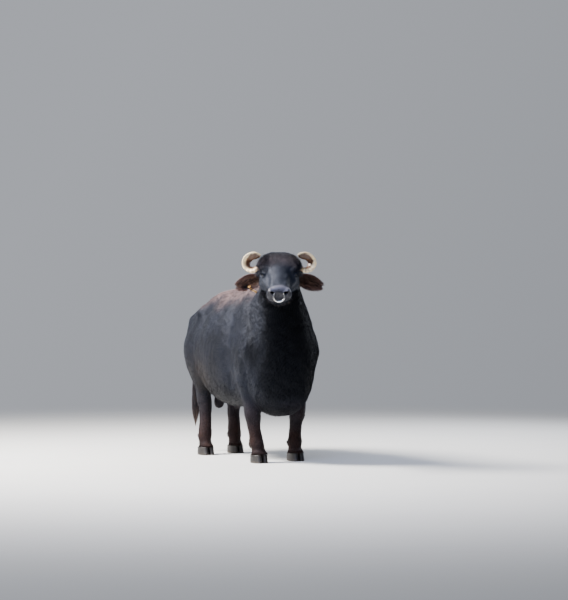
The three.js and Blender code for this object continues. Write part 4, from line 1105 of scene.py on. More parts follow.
# Natural horn, grown in layers of fine fibres and rubbed to a satin gloss. The light goes a
# little way into it, so the cream looks warm and deep, and its grooves hold dirt. The real
# fibres are 0.1 mm thick; they are drawn 1 mm apart, as where horn weathers.
CLOUDS, FIBRES = 16.0, (9.0, 150.0, 1.0)
horn, tree = new_finish("natural_horn")
along, outer, ridge, round_it = (
    add(tree, "Attribute", out="Fac", attribute_name=key)
    for key in ("along", "outer", "ridge", "round")
)
cloud = {"Vector": add(tree, "TexCoord", out="Object"), "Scale": CLOUDS, "Detail": 4.0}
cloud = add(tree, "TexNoise", cloud | {"Roughness": 0.55})
grain_way = add(tree, "CombineXYZ", {"X": along, "Y": round_it})
grain_way = add(tree, "Mapping", {"Vector": grain_way, "Scale": FIBRES})
grain = add(tree, "TexNoise", {"Vector": grain_way, "Scale": 1.0, "Detail": 4.0})
wander = add(tree, "MapRange", {0: cloud, 1: 0.3, 2: 0.7, 3: -0.2, 4: 0.2})
# cream goes on as painted sunlight where the horn faces out; the brown left inside the curl is painted
# shade over the horn's own darker tone
edge = {0: add(tree, "Math", {0: outer, 1: wander}, operation="ADD"), 1: -0.16, 2: 0.34}
painted_sunlit_side = add(tree, "MapRange", edge, interpolation_type="SMOOTHSTEP")
foot = add(tree, "MapRange", {0: along, 1: 0.07, 2: 0.0})
grooves = add(tree, "MapRange", {0: ridge, 1: -0.2, 2: -1.0, 3: 0.0, 4: 0.55})
# the brown: the horn's own darker tone, which shows as painted shade inside the curl
brown = {0: cloud, 6: linear("#3a2019"), 7: linear("#6b4a30")}
colour = add(tree, "Mix", brown, 2, data_type="RGBA")
cream = {0: grain, 6: linear("#ecc88e"), 7: linear("#fff0cc")}
cream = add(tree, "Mix", cream, 2, data_type="RGBA")
for amount, above in (
    (painted_sunlit_side, cream), (foot, linear("#a58a6c")), (grooves, linear("#7d6247"))
):
    colour = add(tree, "Mix", {0: amount, 6: colour, 7: above}, 2, data_type="RGBA")
horn_look = {
    "Base Color": colour, "Roughness": add(tree, "MapRange", {0: grain, 3: 0.3, 4: 0.52}),
    "Normal": add(tree, "Bump", {"Height": grain, "Strength": 0.4, "Distance": 0.0012}),
    "IOR": KERATIN_IOR, "Subsurface Weight": 0.12, "Subsurface Radius": (0.006, 0.004, 0.002),
}
add(tree, "OutputMaterial", {"Surface": add(tree, "BsdfPrincipled", horn_look)})

for name, side in (("horn_right", -1), ("horn_left", 1)):
    count, sides = 230, 48
    t, angle = np.meshgrid(np.linspace(0, 1, count), turns(sides), indexing="ij")
    # outward is the share of painted sunlight, stored as the horn's outer attribute
    rings, outward = horn_surface(side, t, angle)
    # the foot runs on into the head, straight inward, so no gap shows under the hair
    buried = [rings[0] - head_side * side * step for step in HORN_BURIED]
    points, faces = lofted(np.concatenate([buried, rings]))
    made = new_piece(name, points, faces, horn)
    extra = len(HORN_BURIED)
    t = np.concatenate([np.zeros((extra, sides)), t])
    angle, outward = (np.concatenate([np.repeat(g[:1], extra, 0), g]) for g in (angle, outward))
    ridge_here = np.sin(growth_phase(t, angle)) * smoothly(t, RIDGES_END, 0.05)
    grids = {"outer": outward, "round": np.abs(np.sin(angle / 2)), "ridge": ridge_here}
    marks = {key: np.append(grid.ravel(), [0, 0]) for key, grid in grids.items()}
    give_marks(made.data, {"along": np.append(t.ravel(), [0, 1])} | marks)
    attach(made, "root")
    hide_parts(name)

# The hooves and dewclaws: two claws to a foot and two small ones behind the fetlock, of dark
# horn with growth lines round them, dull and scuffed pale at the lower edge from walking.
CLAW_LONG, CLAW_WIDE, CLAW_SPLIT = 132.0, 62.0, 7.0
CLAW_TOE, CLAW_HEEL, CLAW_TOP_HALF = 0.64, 0.45, 0.49
CLAW_TOP = CORONET + 3.0
DEW_WIDE, DEW_HIGH, DEW_LEAN = 17.0, 26.0, math.radians(24)
DEW_ACROSS, DEW_BACK, DEW_DROP = 0.9, 0.72, 24.0
DEW_GRID = (30, 48)

# Hoof horn, grown downwards in tubes and worn by the ground: a dull black that turns grey and
# matt where it is scuffed. The growth lines are 4 mm apart. The tubes are 0.3 mm thick on the
# real hoof and are drawn 2 mm apart.
GROWTH_LINES, HORN_TUBES, SMEARS = (6.0, 6.0, 260.0), (520.0, 520.0, 22.0), 60.0
hoof, tree = new_finish("hoof_horn")
place = add(tree, "TexCoord", out="Object")
growth, tubes = (
    add(tree, "TexNoise", {
        "Vector": add(tree, "Mapping", {"Vector": place, "Scale": scale}), "Scale": 1.0, "Detail": 3.0
    })
    for scale in (GROWTH_LINES, HORN_TUBES)
)
smear = {"Vector": place, "Scale": SMEARS, "Detail": 6.0, "Roughness": 0.65}
smear = add(tree, "TexNoise", smear)
level = add(tree, "Attribute", out="Fac", attribute_name="level")
worn = add(tree, "MapRange", {0: level, 1: 0.32, 2: 0.0})
scuff = add(tree, "MapRange", {0: smear, 1: 0.42, 2: 0.62})
worn = add(tree, "Math", {0: worn, 1: scuff}, operation="MULTIPLY")
dark = {0: growth, 6: linear("#0e0c0c"), 7: linear("#231e1c")}
colour = add(tree, "Mix", dark, 2, data_type="RGBA")
scuffed = {0: worn, 6: colour, 7: linear("#574b40")}
lines = add(tree, "Bump", {"Height": growth, "Strength": 0.5, "Distance": 0.0016})
fine = {"Height": tubes, "Strength": 0.35, "Distance": 0.001, "Normal": lines}
hoof_look = {
    "Base Color": add(tree, "Mix", scuffed, 2, data_type="RGBA"), "IOR": KERATIN_IOR,
    "Roughness": add(tree, "MapRange", {0: tubes, 3: 0.38, 4: 0.62}),
    "Normal": add(tree, "Bump", fine),
}
add(tree, "OutputMaterial", {"Surface": add(tree, "BsdfPrincipled", hoof_look)})


def claw_rings(leg, which, count, sides):
    """One claw from the ground to the coronet: the wall slopes back, the heel is a soft bulb."""
    _, x, y, _, _ = LEGS[leg][1][-1]
    foot = in_stance(leg, np.array([x, y, CORONET]))
    t = np.linspace(0, 1, count)[:, None]
    c, n = np.cos(turns(sides))[None, :], np.sin(turns(sides))[None, :]
    rolled = 1 - 0.1 * smoothly(t, 0.1, 0.0) - 0.3 * smoothly(t, 0.9, 1.0)
    bulb = 1 + 0.05 * np.exp(-(((t - 0.35) / 0.25) ** 2))
    band = 1 + 0.025 * np.exp(-(((t - 0.88) / 0.05) ** 2))
    ripple = 1 + 0.003 * np.sin(t * 38 + 2 * n) * smoothly(t, 0.95, 0.8)
    back = CLAW_LONG * mix(CLAW_HEEL, CLAW_TOP_HALF, t) * bulb
    front = CLAW_LONG * (mix(CLAW_TOE, CLAW_TOP_HALF, t) - 0.012 * np.sin(t * np.pi))
    wide = (CLAW_WIDE - 1) * mix(1, 0.94, t) * band * rolled
    shape = np.sign(c) * np.abs(c) ** 0.8
    across = wide / 2 * (1 + shape) + (1 - rolled) * CLAW_WIDE / 2
    across = np.maximum(across - np.where(n < 0, n * n * 10, 0), 0.4)
    reach = n * np.where(n > 0, back, front) * mix(1, rolled, 0.55) * ripple
    low = 1.2 * smoothly(np.abs(shape), 0.6, 1) * (t == 0)
    x = foot[0] + which * (CLAW_SPLIT / 2 + across * ripple)
    return np.stack([x, foot[1] + reach + 4, t * CLAW_TOP + low + 0.2], -1)


def dewclaw_rings(leg, which, count, sides):
    """A small blunt cone behind the fetlock, pointing down and back."""
    z, x, y, half, deep = LEGS[leg][1][-4]
    middle = in_stance(leg, np.array([x, y, z]))
    fall = np.linspace(0.03, np.pi - 0.03, count)[:, None]
    angle = turns(sides)[None, :]
    wide = DEW_WIDE * np.sin(fall) ** 0.8 * mix(1.0, 0.86, fall / np.pi)
    wide = wide * (1 + 0.03 * np.sin(fall * 16))
    across, back = DEW_ACROSS * wide * np.cos(angle), DEW_BACK * wide * np.sin(angle)
    high = DEW_HIGH * np.cos(fall) * np.ones_like(angle)
    turned = back * math.cos(DEW_LEAN) + high * math.sin(DEW_LEAN)
    lifted = high * math.cos(DEW_LEAN) - back * math.sin(DEW_LEAN)
    at = np.array([middle[0] + which * half * 0.5, middle[1] + deep * 0.82, z - DEW_DROP])
    return at + np.stack([across, turned, lifted], -1)


for leg in LEGS:
    for which in (1, -1):
        where = "outer" if which == LEGS[leg][0] else "inner"
        for kind, rings in (
            ("hoof", claw_rings(leg, which, 60, 48)),
            ("dewclaw", dewclaw_rings(leg, which, *DEW_GRID)),
        ):
            name = f"{kind}_{leg}_{where}"
            points, faces = lofted(rings)
            made = new_piece(name, points, faces, hoof)
            low, high = points[:, 2].min(), points[:, 2].max()
            give_marks(made.data, {"level": (points[:, 2] - low) / (high - low)})
            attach(made, "root")
            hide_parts(name)

# The nose ring: a bull ring of polished steel rod, hinged at the top inside the nose and closed
# at the bottom by a small screw. It goes in at one nostril and out at the other.
RING_RADIUS, RING_WIRE, RING_SWING = 42.0, 5.5, math.radians(3)
RING_ALONG, RING_UP = 496.0, 36.0
SEAM_AT, SEAM_HALF, SEAM_DEEP = (1.42, 1.72, 4.56, 4.86), 0.022, 0.12
SCREW_FALL, SCREW_HALF = (0.0, 1.2, 1.6), (2.6, 2.6, 2.1)

# Steel rod, polished and then rubbed by grass and mud. It mirrors the light as a white line, a
# little broken where it is rubbed. The scratches are finer than can show and drawn 2 mm apart.
RUBS = 420.0
steel, tree = new_finish("polished_steel")
rubbed = {"Vector": add(tree, "TexCoord", out="Object"), "Scale": RUBS, "Detail": 4.0}
rubbed = add(tree, "TexNoise", rubbed)
tarnish = {0: rubbed, 6: linear("#dedede"), 7: linear("#f4f2ee")}
steel_look = {
    "Base Color": add(tree, "Mix", tarnish, 2, data_type="RGBA"), "Metallic": 1.0,
    "Roughness": add(tree, "MapRange", {0: rubbed, 1: 0.3, 2: 0.7, 3: 0.14, 4: 0.34}),
}
add(tree, "OutputMaterial", {"Surface": add(tree, "BsdfPrincipled", steel_look)})

down = np.array([0, 0, -math.cos(RING_SWING)]) + head_forward * math.sin(RING_SWING)
axis = np.cross(head_side, down)
ring_middle = on_head((0, RING_ALONG, RING_UP)) + down * RING_RADIUS


def rod_rings(count, sides):
    """The closed rod, with a seam either side of the hinge and of the closure."""
    turn, angle = turns(count)[:, None], turns(sides)[None, :]
    seam = sum(np.exp(-(((turn - at) / SEAM_HALF) ** 2)) for at in SEAM_AT)
    wire = RING_WIRE * (1 - SEAM_DEEP * seam)
    out = head_side * np.cos(turn)[..., None] + down * np.sin(turn)[..., None]
    reach = (RING_RADIUS + wire * np.cos(angle))[..., None] * out
    return ring_middle + reach + axis * (wire * np.sin(angle))[..., None]


rings = rod_rings(180, 24)
count, sides, _ = rings.shape
row, k = np.meshgrid(np.arange(count), np.arange(sides), indexing="ij")
next_row, next_k = (row + 1) % count, (k + 1) % sides
corners = [row * sides + k, row * sides + next_k, next_row * sides + next_k, next_row * sides + k]
faces = np.stack([c.ravel() for c in corners], 1)
points = rings.reshape(-1, 3)
a, b, c = (points[faces[:, i]] - ring_middle for i in (0, 1, 2))
if np.einsum("ij,ij->", a, np.cross(b, c)) < 0:
    faces = faces[:, ::-1]
nose_ring = new_piece("nose_ring", points, faces.tolist(), steel)
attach(nose_ring, "root")
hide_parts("nose_ring")

# The ring's screw: a small steel head set flush in the front of the closure.
screw_at = ring_middle + down * RING_RADIUS - axis * (RING_WIRE - 0.6)
fall, size = np.array(SCREW_FALL)[:, None, None], np.array(SCREW_HALF)[:, None, None]
angle = turns(24)[None, :, None]
disc = head_side * (size * np.cos(angle)) + down * (size * np.sin(angle))
screw = new_piece("nose_ring_screw", *lofted(screw_at + disc - axis * fall), steel, smooth=False)
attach(screw, "root")

# The ear tag: a plain yellow plastic plate without a number, flexible, moulded in one with the
# collar that the pin snaps into. The pin goes through the right ear from a button behind.
TAG_WIDE, TAG_LONG, TAG_THICK = 50.0, 66.0, 3.0
TAG_PIN, TAG_BUTTON = 4.0, 13.0
TAG_ALONG, TAG_ROUND, TAG_HANG = 0.6, math.radians(62), math.radians(26)
TAG_TWIST, TAG_STAND, TAG_DROP = math.radians(14), 15.0, 0.36
PIN = [(-13, TAG_PIN), (TAG_STAND, TAG_PIN)]
BUTTON = [(-15.4, 10.5), (-14.8, 12.4), (-13, TAG_BUTTON), (-11.4, 12.6), (-11, 11.6)]
COLLAR = [(9.5, 9.2), (10, 10.2), (12, 10.4), (14, 10.2), (14.5, 9.2)]
BOSS = [(14, 7.5), (17.4, 7.2), (18.6, 6.4), (19, 5.2)]
PLATE_EDGE = ((-1, 1.6), (-0.6, 0.4), (0, 0), (0.6, 0.4), (1, 1.6))

# Soft moulded polyurethane: a satin yellow with a film of grease and dirt in patches 13 mm
# across, which takes the shine off it. Light goes a little way in, so thin edges look warm.
# Its moulded grain is finer than a millimetre and is drawn 1 mm across.
FILM, MOULD_GRAIN = 75.0, 900.0
plastic, tree = new_finish("yellow_tag_plastic")
place = add(tree, "TexCoord", out="Object")
grime = {"Vector": place, "Scale": FILM, "Detail": 6.0, "Roughness": 0.65}
grime = add(tree, "TexNoise", grime)
moulded = add(tree, "TexNoise", {"Vector": place, "Scale": MOULD_GRAIN, "Detail": 2.0})
soiled = {0: add(tree, "MapRange", {0: grime, 1: 0.46, 2: 0.72})}
soiled |= {6: linear("#e3a94a"), 7: linear("#9a7a3a")}
tag_look = {
    "Base Color": add(tree, "Mix", soiled, 2, data_type="RGBA"), "IOR": 1.5,
    "Roughness": add(tree, "MapRange", {0: grime, 3: 0.32, 4: 0.58}),
    "Normal": add(tree, "Bump", {"Height": moulded, "Strength": 0.2, "Distance": 0.0004}),
    "Subsurface Weight": 0.15, "Subsurface Radius": (0.003, 0.002, 0.001),
}
add(tree, "OutputMaterial", {"Surface": add(tree, "BsdfPrincipled", tag_look)})

root, outward, opening, across = ear_frame(-1)
out = across * math.sin(TAG_ROUND) / EAR_WIDTH - opening * math.cos(TAG_ROUND) / EAR_DEPTH
out = unit(out)
pinned = root + outward * TAG_ALONG * EAR_LENGTH
pinned = pinned + across * EAR_WIDTH * 0.97 * math.sin(TAG_ROUND)
pinned = pinned - opening * EAR_DEPTH * 0.86 * math.cos(TAG_ROUND)
flat_a = unit(np.cross(out, outward))
flat_b = np.cross(out, flat_a)
slope = head_side * math.cos(TAG_HANG) - np.array([0, 0, math.sin(TAG_HANG)])
spin = Matrix.Rotation(TAG_TWIST, 3, Vector(slope))
plate_across = np.array(spin @ Vector(head_forward))
plate_up = np.cross(slope, plate_across)


def turned_part(profile, sides):
    """Rings round the pin: each row of the profile is a height along it and a radius."""
    angle = turns(sides)[None, :, None]
    high, radius = np.asarray(profile, float).T
    rim = flat_a * np.cos(angle) + flat_b * np.sin(angle)
    return pinned + out * high[:, None, None] + rim * radius[:, None, None]


def plate_rings():
    """The plate as rings over its rounded outline, with softened edges."""
    c, n = np.cos(turns(96)), np.sin(turns(96))
    shape = (np.abs(c) ** 5 + np.abs(n) ** 5) ** (-1 / 5)
    taper = 1 - 0.12 * smoothly(-c, 0.1, 1)
    rings = []
    for high, pull in PLATE_EDGE:
        long = (TAG_LONG / 2 * shape * c - pull * c)[:, None]
        wide = ((TAG_WIDE / 2 * shape * n - pull * n) * taper)[:, None]
        lift = high * TAG_THICK / 2 + 1.5 * (long / TAG_LONG * 2) ** 2
        rings.append((long + TAG_LONG * TAG_DROP) * slope + wide * plate_across + lift * plate_up)
    return pinned + out * TAG_STAND + np.array(rings)


turned_parts = [turned_part(PIN, 24), *(turned_part(part, 48) for part in (BUTTON, COLLAR, BOSS))]
ear_tag = new_piece("ear_tag", *joined([*turned_parts, plate_rings()]), plastic)
ear_tag.data.set_sharp_from_angle(angle=math.radians(40))
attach(ear_tag, "root")
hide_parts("ear_tag")

# The coat: stiff straight hair that lies back along the body and down the legs. Each lock is a
# small closed tapered tuft, rooted in the skin. They are short on the face and feet, longer on
# the neck, brisket and topline, and sparse over the flanks, where the skin shows between them.
# A real hair is 0.1 mm thick, so a lock of some twenty, 1 to 2.5 mm wide, is the finest drawn.
COAT_SEED, LOCK_THICK, UV_PATCH = 417, 0.45, 0.003
BEHIND_Y, TAIL_REACH = RUMP_Y + 4, 110.0
dice = np.random.default_rng(COAT_SEED)
skin.calc_loop_triangles()
triangles = np.empty(len(skin.loop_triangles) * 3, int)
skin.loop_triangles.foreach_get("vertices", triangles)
triangles = triangles.reshape(-1, 3)
body, normals = points_of(skin), normals_of(skin)
middles = body[triangles].mean(1)
sides_a = body[triangles[:, 1]] - body[triangles[:, 0]]
sides_b = body[triangles[:, 2]] - body[triangles[:, 0]]
areas = np.linalg.norm(np.cross(sides_a, sides_b), axis=1) / 2
facings = unit(normals[triangles].mean(1))
local = in_head(middles)
head_zone = (local[:, 1] > 26) & (local[:, 2] > -185) & (np.abs(local[:, 0]) < 175)
ear_zone = np.maximum(ear_share(middles, 1), ear_share(middles, -1))
leg_zone, in_opening = np.zeros((2, len(middles)), bool)
for leg, (_, slices, _, _) in LEGS.items():
    fore = slices is FORE
    centre = in_stance(leg, (215, -505, 400) if fore else (172, 530, 400))
    near_leg = np.hypot(*(middles - centre)[:, :2].T) < (125 if fore else 165)
    leg_zone |= near_leg & (middles[:, 2] < (620 if fore else 660))
tail_zone = (middles[:, 1] > BEHIND_Y) & (np.abs(middles[:, 0]) < TAIL_REACH)
bag_zone = (np.abs(middles[:, 1] - SCROTUM_Y) < 60) & (np.abs(middles[:, 0]) < 60)
bag_zone &= middles[:, 2] < 640
for side in (-1, 1):
    in_opening |= np.linalg.norm(middles - eye_middle(side), axis=1) < 31
muzzle_zone = markings(middles, facings)["bare"] > 0.3
hair = hide_finish("buffalo_hair", True)


def many(count):
    return int(count * (1.0))


def lie_of_hair(points, normals):
    """The way the hair lies: back and down the trunk, down the limbs, down the face."""
    x, y, z = points.T
    wide, along, high = in_head(points).T
    side = np.sign(x)
    ahead, low, rump = smoothly(y, -420, -700), smoothly(z, 760, 560), smoothly(y, 560, 740)
    outward = 0.12 * side + 0.25 * side * ahead
    back, up = 0.95 - 0.75 * ahead - 0.8 * rump, -0.5 - 0.7 * ahead - 0.9 * rump
    way = np.stack([outward, back, up], -1)
    way += 0.35 * np.stack([np.sin(y / 160 + z / 90), 0 * y, np.sin(x / 120 + y / 210)], -1)
    on_limb = low * smoothly(np.abs(normals[:, 2]), 0.8, 0.5)
    way = mix(way, np.array([0, 0.12, -1.0]), on_limb[:, None])
    way = mix(way, np.array([0, 0.9, -0.35]), smoothly(-normals[:, 2], 0.55, 0.85)[:, None])
    on_face = smoothly(along, 10, 60) * smoothly(high, -200, -150) * (np.abs(wide) < 190)
    cheek = smoothly(np.abs(wide), 60, 120) * smoothly(high, 60, 0)
    down_face = np.stack([0.25 * wide / 100, 1 - 1.5 * cheek, -0.1 - 1.1 * cheek], -1) @ HEAD_FRAME
    way = mix(way, down_face, on_face[:, None])
    for side in (-1, 1):
        way = np.where((ear_share(points, side) > 0)[:, None], ear_frame(side)[1], way)
    behind = (y > BEHIND_Y) & (np.abs(x) < TAIL_REACH)
    way = np.where(behind[:, None], np.array([0, 0.05, -1]), way)
    return unit(way - normals * (way * normals).sum(-1, keepdims=True))


def unwrapped(points):
    """Where each point lies when the hide is slit and laid flat, part by part."""
    x, y, z = points.T
    local = in_head(points)
    u = np.arctan2(x, z - 900) / (2 * np.pi) + 0.5
    v = 0.5 + 0.5 * (y + 1050) / 1920
    turn = np.arctan2(local[:, 0], local[:, 2]) / (2 * np.pi) + 0.5
    on_face = (local[:, 1] > 10) & (local[:, 2] > -230) & (np.abs(local[:, 0]) < 190)
    u = np.where(on_face, 0.25 * turn, u)
    v = np.where(on_face, 0.5 * local[:, 1] / 560, v)
    for place, side in ((0.0, -1), (0.25, 1)):
        share = ear_share(points, side)
        root, _, _, across = ear_frame(side)
        drop = ((points - root) @ across + 75) / 150
        u = np.where(share > 0, 0.25 + 0.25 * share, u)
        v = np.where(share > 0, place + 0.25 * drop, v)
    for place, (leg, (side, slices, _, _)) in enumerate(LEGS.items()):
        fore = slices is FORE
        middle = in_stance(leg, np.stack([0 * x + 195, 0 * y + (-505 if fore else 515), z], 1))
        here = (z < 620) & (x * side > 30) & ((y < 0) == fore)
        turn = np.arctan2(*(points - middle)[:, :2].T) / (2 * np.pi) + 0.5
        u = np.where(here, 0.5 + 0.1 * (place + turn), u)
        v = np.where(here, 0.5 * z / 640, v)
    behind = (y > BEHIND_Y) & (np.abs(x) < TAIL_REACH)
    u = np.where(behind, 0.9 + 0.08 * (x + TAIL_REACH) / (2 * TAIL_REACH), u)
    v = np.where(behind, 0.5 * z / 1300, v)
    return np.clip(np.stack([u, v], 1), 0.002, 0.995)


def coat_mesh(name, paths, widths, facing, marks):
    """Closed tapered locks: each follows a path, and has a three-sided section but for its tip."""
    count, steps, _ = paths.shape
    rows = steps - 1
    ahead = unit(np.diff(paths, axis=1))
    across = unit(np.cross(facing[:, None, :], ahead))
    up = np.cross(ahead, across)
    half = widths[:, :, None] / 2
    foot = paths[:, :-1]
    ring = np.stack([foot - across * half, foot + across * half, foot + up * half * 2 * LOCK_THICK], 2)
    points = np.concatenate([ring.reshape(count, rows * 3, 3), paths[:, -1:]], 1)
    each = rows * 3 + 1
    plan = [(0, 2, 1)]
    for row in range(rows - 1):
        for k in range(3):
            a, b = row * 3 + k, row * 3 + (k + 1) % 3
            plan += [(a, b, b + 3), (a, b + 3, a + 3)]
    last = (rows - 1) * 3
    plan += [(last + k, last + (k + 1) % 3, last + 3) for k in range(3)]
    plan = np.array(plan)
    a, b, c = (points[0][plan[:, i]] - points[0, 0] for i in range(3))
    if np.einsum("ij,ij->", a, np.cross(b, c)) < 0:
        plan = plan[:, ::-1]
    faces = (np.arange(count)[:, None, None] * each + plan).reshape(-1, 3)
    mesh = bpy.data.meshes.new(name)
    mesh.vertices.add(count * each)
    mesh.vertices.foreach_set("co", to_scene(points.reshape(-1, 3)).ravel().astype(np.float32))
    mesh.loops.add(len(faces) * 3)
    mesh.loops.foreach_set("vertex_index", faces.ravel().astype(np.int32))
    mesh.polygons.add(len(faces))
    mesh.polygons.foreach_set("loop_start", np.arange(len(faces), dtype=np.int32) * 3)
    mesh.polygons.foreach_set("use_smooth", np.ones(len(faces), bool))
    mesh.update(calc_edges=True)
    share = np.append(np.repeat(np.arange(rows) / rows, 3), 1.0)
    give_marks(mesh, {key: np.repeat(value, each) for key, value in marks.items()})
    give_marks(mesh, {"tip": np.tile(share, count)})
    corner = np.append(np.tile([0.0, 1.0, 0.5], rows), 0.5)
    flat = unwrapped(paths[:, 0])[:, None, :] + np.stack([corner, share], 1) * UV_PATCH
    layer = mesh.uv_layers.new(name="OFBake")
    layer.data.foreach_set("uv", flat.reshape(-1, 2)[faces.ravel()].ravel().astype(np.float32))
    mesh.materials.append(hair)
    made = bpy.data.objects.new(name, mesh)
    bpy.context.scene.collection.objects.link(made)
    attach(made, "root")


def uneven_width(width, count, spread=0.3):
    """How wide each lock is at its root."""
    return (width * mix(1 - spread, 1 + spread, dice.random(count)))[:, None]


def rooted(weights, count):
    """Roots spread over the skin by area and weight: the points and the way the skin faces."""
    odds = areas * weights
    chosen = dice.choice(len(odds), count, p=odds / odds.sum())
    a, b = dice.random((2, count))
    flip = a + b > 1
    a, b = np.where(flip, 1 - a, a), np.where(flip, 1 - b, b)
    corner = body[triangles[chosen]]
    spot = corner[:, 0] + a[:, None] * (corner[:, 1] - corner[:, 0])
    spot = spot + b[:, None] * (corner[:, 2] - corner[:, 0])
    share = np.stack([1 - a - b, a, b], 1)[:, :, None]
    return spot, unit((normals[triangles[chosen]] * share).sum(1))


def grown(name, weights, count, length, width, lift, stray=0.16, pale=0.0):
    """Sows one piece of the coat: its length and lift are ranges in millimetres."""
    count = many(count)
    spot, facing = rooted(weights, count)
    way = lie_of_hair(spot, facing)
    across = np.cross(facing, way)
    swirl = 0.16 * np.sin(spot @ (0.031, 0.047, 0.038)) + 0.1 * np.sin(spot @ (-0.09, 0.06, 0.11))
    lean = swirl + stray * dice.standard_normal(count)
    way = unit(way + across * lean[:, None])
    long = mix(*length, dice.beta(2, 2, count))[:, None]
    high = mix(*lift, dice.beta(1.6, 2.6, count))[:, None]
    bend = across * (0.08 * long * dice.standard_normal(count)[:, None])
    rows = []
    for share in (0, 0.5, 1):
        rise = high * share**1.3 - 0.8 * (share == 0)
        rows.append(spot + way * long * share + facing * rise + bend * share * share)
    widths = uneven_width(width, count, 0.25) * (1, 0.55)
    marks = markings(spot, facing)
    marks |= {"tint": dice.random(count), "pale": pale * dice.random(count)}
    coat_mesh(f"coat_{name}", np.stack(rows, 1), widths, facing, marks)


hair_ok = ~in_opening & ~muzzle_zone & (middles[:, 2] > CORONET + 4)
plain = hair_ok & (ear_zone < 0) & ~bag_zone
trunk_zone = plain & ~head_zone & ~leg_zone & ~tail_zone
top = smoothly(facings[:, 2], 0.75, 0.97) * (middles[:, 2] > 1150)
front = trunk_zone & (middles[:, 1] < -560)
under = trunk_zone & (facings[:, 2] < -0.6)
barrel = trunk_zone & ~front & ~under
right = middles[:, 0] < 0
legs_here = plain & leg_zone
behind_leg = legs_here * (0.35 + smoothly(facings[:, 1], 0.2, 0.9))
coronet = legs_here & (middles[:, 2] < CORONET + 26)
dewclaws = [dewclaw_rings(leg, which, *DEW_GRID) for leg in LEGS for which in (1, -1)]
over_dewclaw = np.zeros(len(middles), bool)
for rings in dewclaws:
    over_dewclaw |= np.linalg.norm(middles - rings[:12].mean((0, 1)), axis=1) < 27
face = plain & head_zone
jaw = face & (local[:, 2] < -60)

# name, where, locks, length, width, lift and how far they stray from the lie of the hair
for name, where, count, length, width, lift, stray in (
    ("barrel_right", barrel & right, 14000, (24, 42), 2.3, (1.0, 5.0), 0.16),
    ("barrel_left", barrel & ~right, 13000, (24, 42), 2.3, (1.0, 5.0), 0.16),
    ("neck_and_brisket", front, 14000, (28, 50), 2.4, (1.5, 8.0), 0.16),
    ("belly", under, 4500, (26, 52), 2.2, (3.0, 12.0), 0.3),
    ("topline", trunk_zone * top, 7000, (24, 46), 2.2, (3.0, 12.0), 0.25),
    ("legs", legs_here, 15500, (11, 22), 1.6, (0.6, 3.0), 0.16),
    ("leg_backs", behind_leg, 5500, (18, 36), 1.6, (1.5, 6.0), 0.22),
    ("coronets", coronet, 2600, (16, 30), 1.7, (2.0, 6.5), 0.25),
    ("over_dewclaws", legs_here & over_dewclaw, 900, (18, 34), 1.6, (7, 17), 0.3),
    ("face", face, 17000, (8, 15), 1.5, (0.4, 2.0), 0.16),
    ("jaw", jaw, 3000, (14, 30), 1.6, (2.0, 7.0), 0.25),
    ("tail", plain & tail_zone, 2600, (26, 48), 2.0, (1.5, 6.0), 0.2),
    ("scrotum", bag_zone, 900, (7, 14), 1.2, (0.5, 2.0), 0.3),
):
    grown(name, where, count, length, width, lift, stray)

# Short hair that falls over the upper half of each dewclaw.
spot, way, facing = [], [], []
for rings in dewclaws:
    row, column = dice.integers(1, 12, many(120)), dice.integers(0, DEW_GRID[1], many(120))
    spot.append(rings[row, column])
    way.append(unit(rings[row + 3, column] - rings[row, column]))
    facing.append(unit(rings[row, column] - rings.mean((0, 1))))
spot, way, facing = (np.concatenate(part) for part in (spot, way, facing))
count = len(spot)
long = mix(12, 22, dice.random(count))[:, None]
way = unit(way + 0.2 * dice.standard_normal(way.shape))
half_way, tip = spot + way * long * 0.5 + facing * 1.5, spot + way * long + facing * 0.5
lying = np.stack([spot - way * 8 - facing * 2, half_way, tip], 1)
marks = markings(spot, facing) | {"tint": dice.random(count), "pale": 0 * long[:, 0]}
coat_mesh("dewclaw_hair", lying, uneven_width(1.5, count, 0.25) * (1, 0.6), facing, marks)

# The long hair of the forehead: coarse, a hand long on the poll, falling forward and to the
# sides over the brow, and lying up over the feet of the horns.
FORELOCK_LONG, FORELOCK_LIFT, FORELOCK_PUFF = (48, 98), (2, 13), 36
skin_tree = BVHTree.FromPolygons(body.tolist(), triangles.tolist())


def combed(spot, facing, way, length, lift, steps, fall):
    """Paths that follow the skin from each root, standing off it more and more."""
    here, heading = spot.copy(), way.copy()
    path = [spot - facing * 1.5]
    for step in range(1, steps + 1):
        here = here + heading * (length / steps)[:, None]
        heading = unit(heading + np.array([0, 0, -fall]) / steps)
        for i, off_skin in enumerate(lift * (step / steps)):
            close, normal, _, _ = skin_tree.find_nearest(Vector(here[i]))
            close, normal = np.array(close), np.array(normal)
            if (here[i] - close) @ normal < off_skin:
                here[i] = close + normal * off_skin
                heading[i] -= normal * min(heading[i] @ normal, 0)
        heading = unit(heading)
        path.append(here.copy())
    return np.stack(path, 1)


def long_locks(name, spot, facing, way, length, lift, pale, steps, fall, stray):
    """Sows long locks that are combed over the skin, each with a slight curl."""
    count = len(spot)
    across = np.cross(facing, way)
    way = unit(way + across * (stray * dice.standard_normal(count))[:, None])
    paths = combed(spot, facing, way, length, lift, steps, fall)
    phase = np.linspace(0, 3, steps + 1)[None, :] + dice.random(count)[:, None] * 6
    curl = across[:, None, :] * (0.05 * length[:, None] * np.sin(phase))[:, :, None]
    widths = uneven_width(2.4, count) * np.linspace(1, 0.45, steps)
    marks = markings(spot, facing)
    marks |= {"bare": 0 * lift, "tint": dice.random(count), "pale": pale * dice.random(count)}
    coat_mesh(name, paths + curl - curl[:, :1], widths, facing, marks)


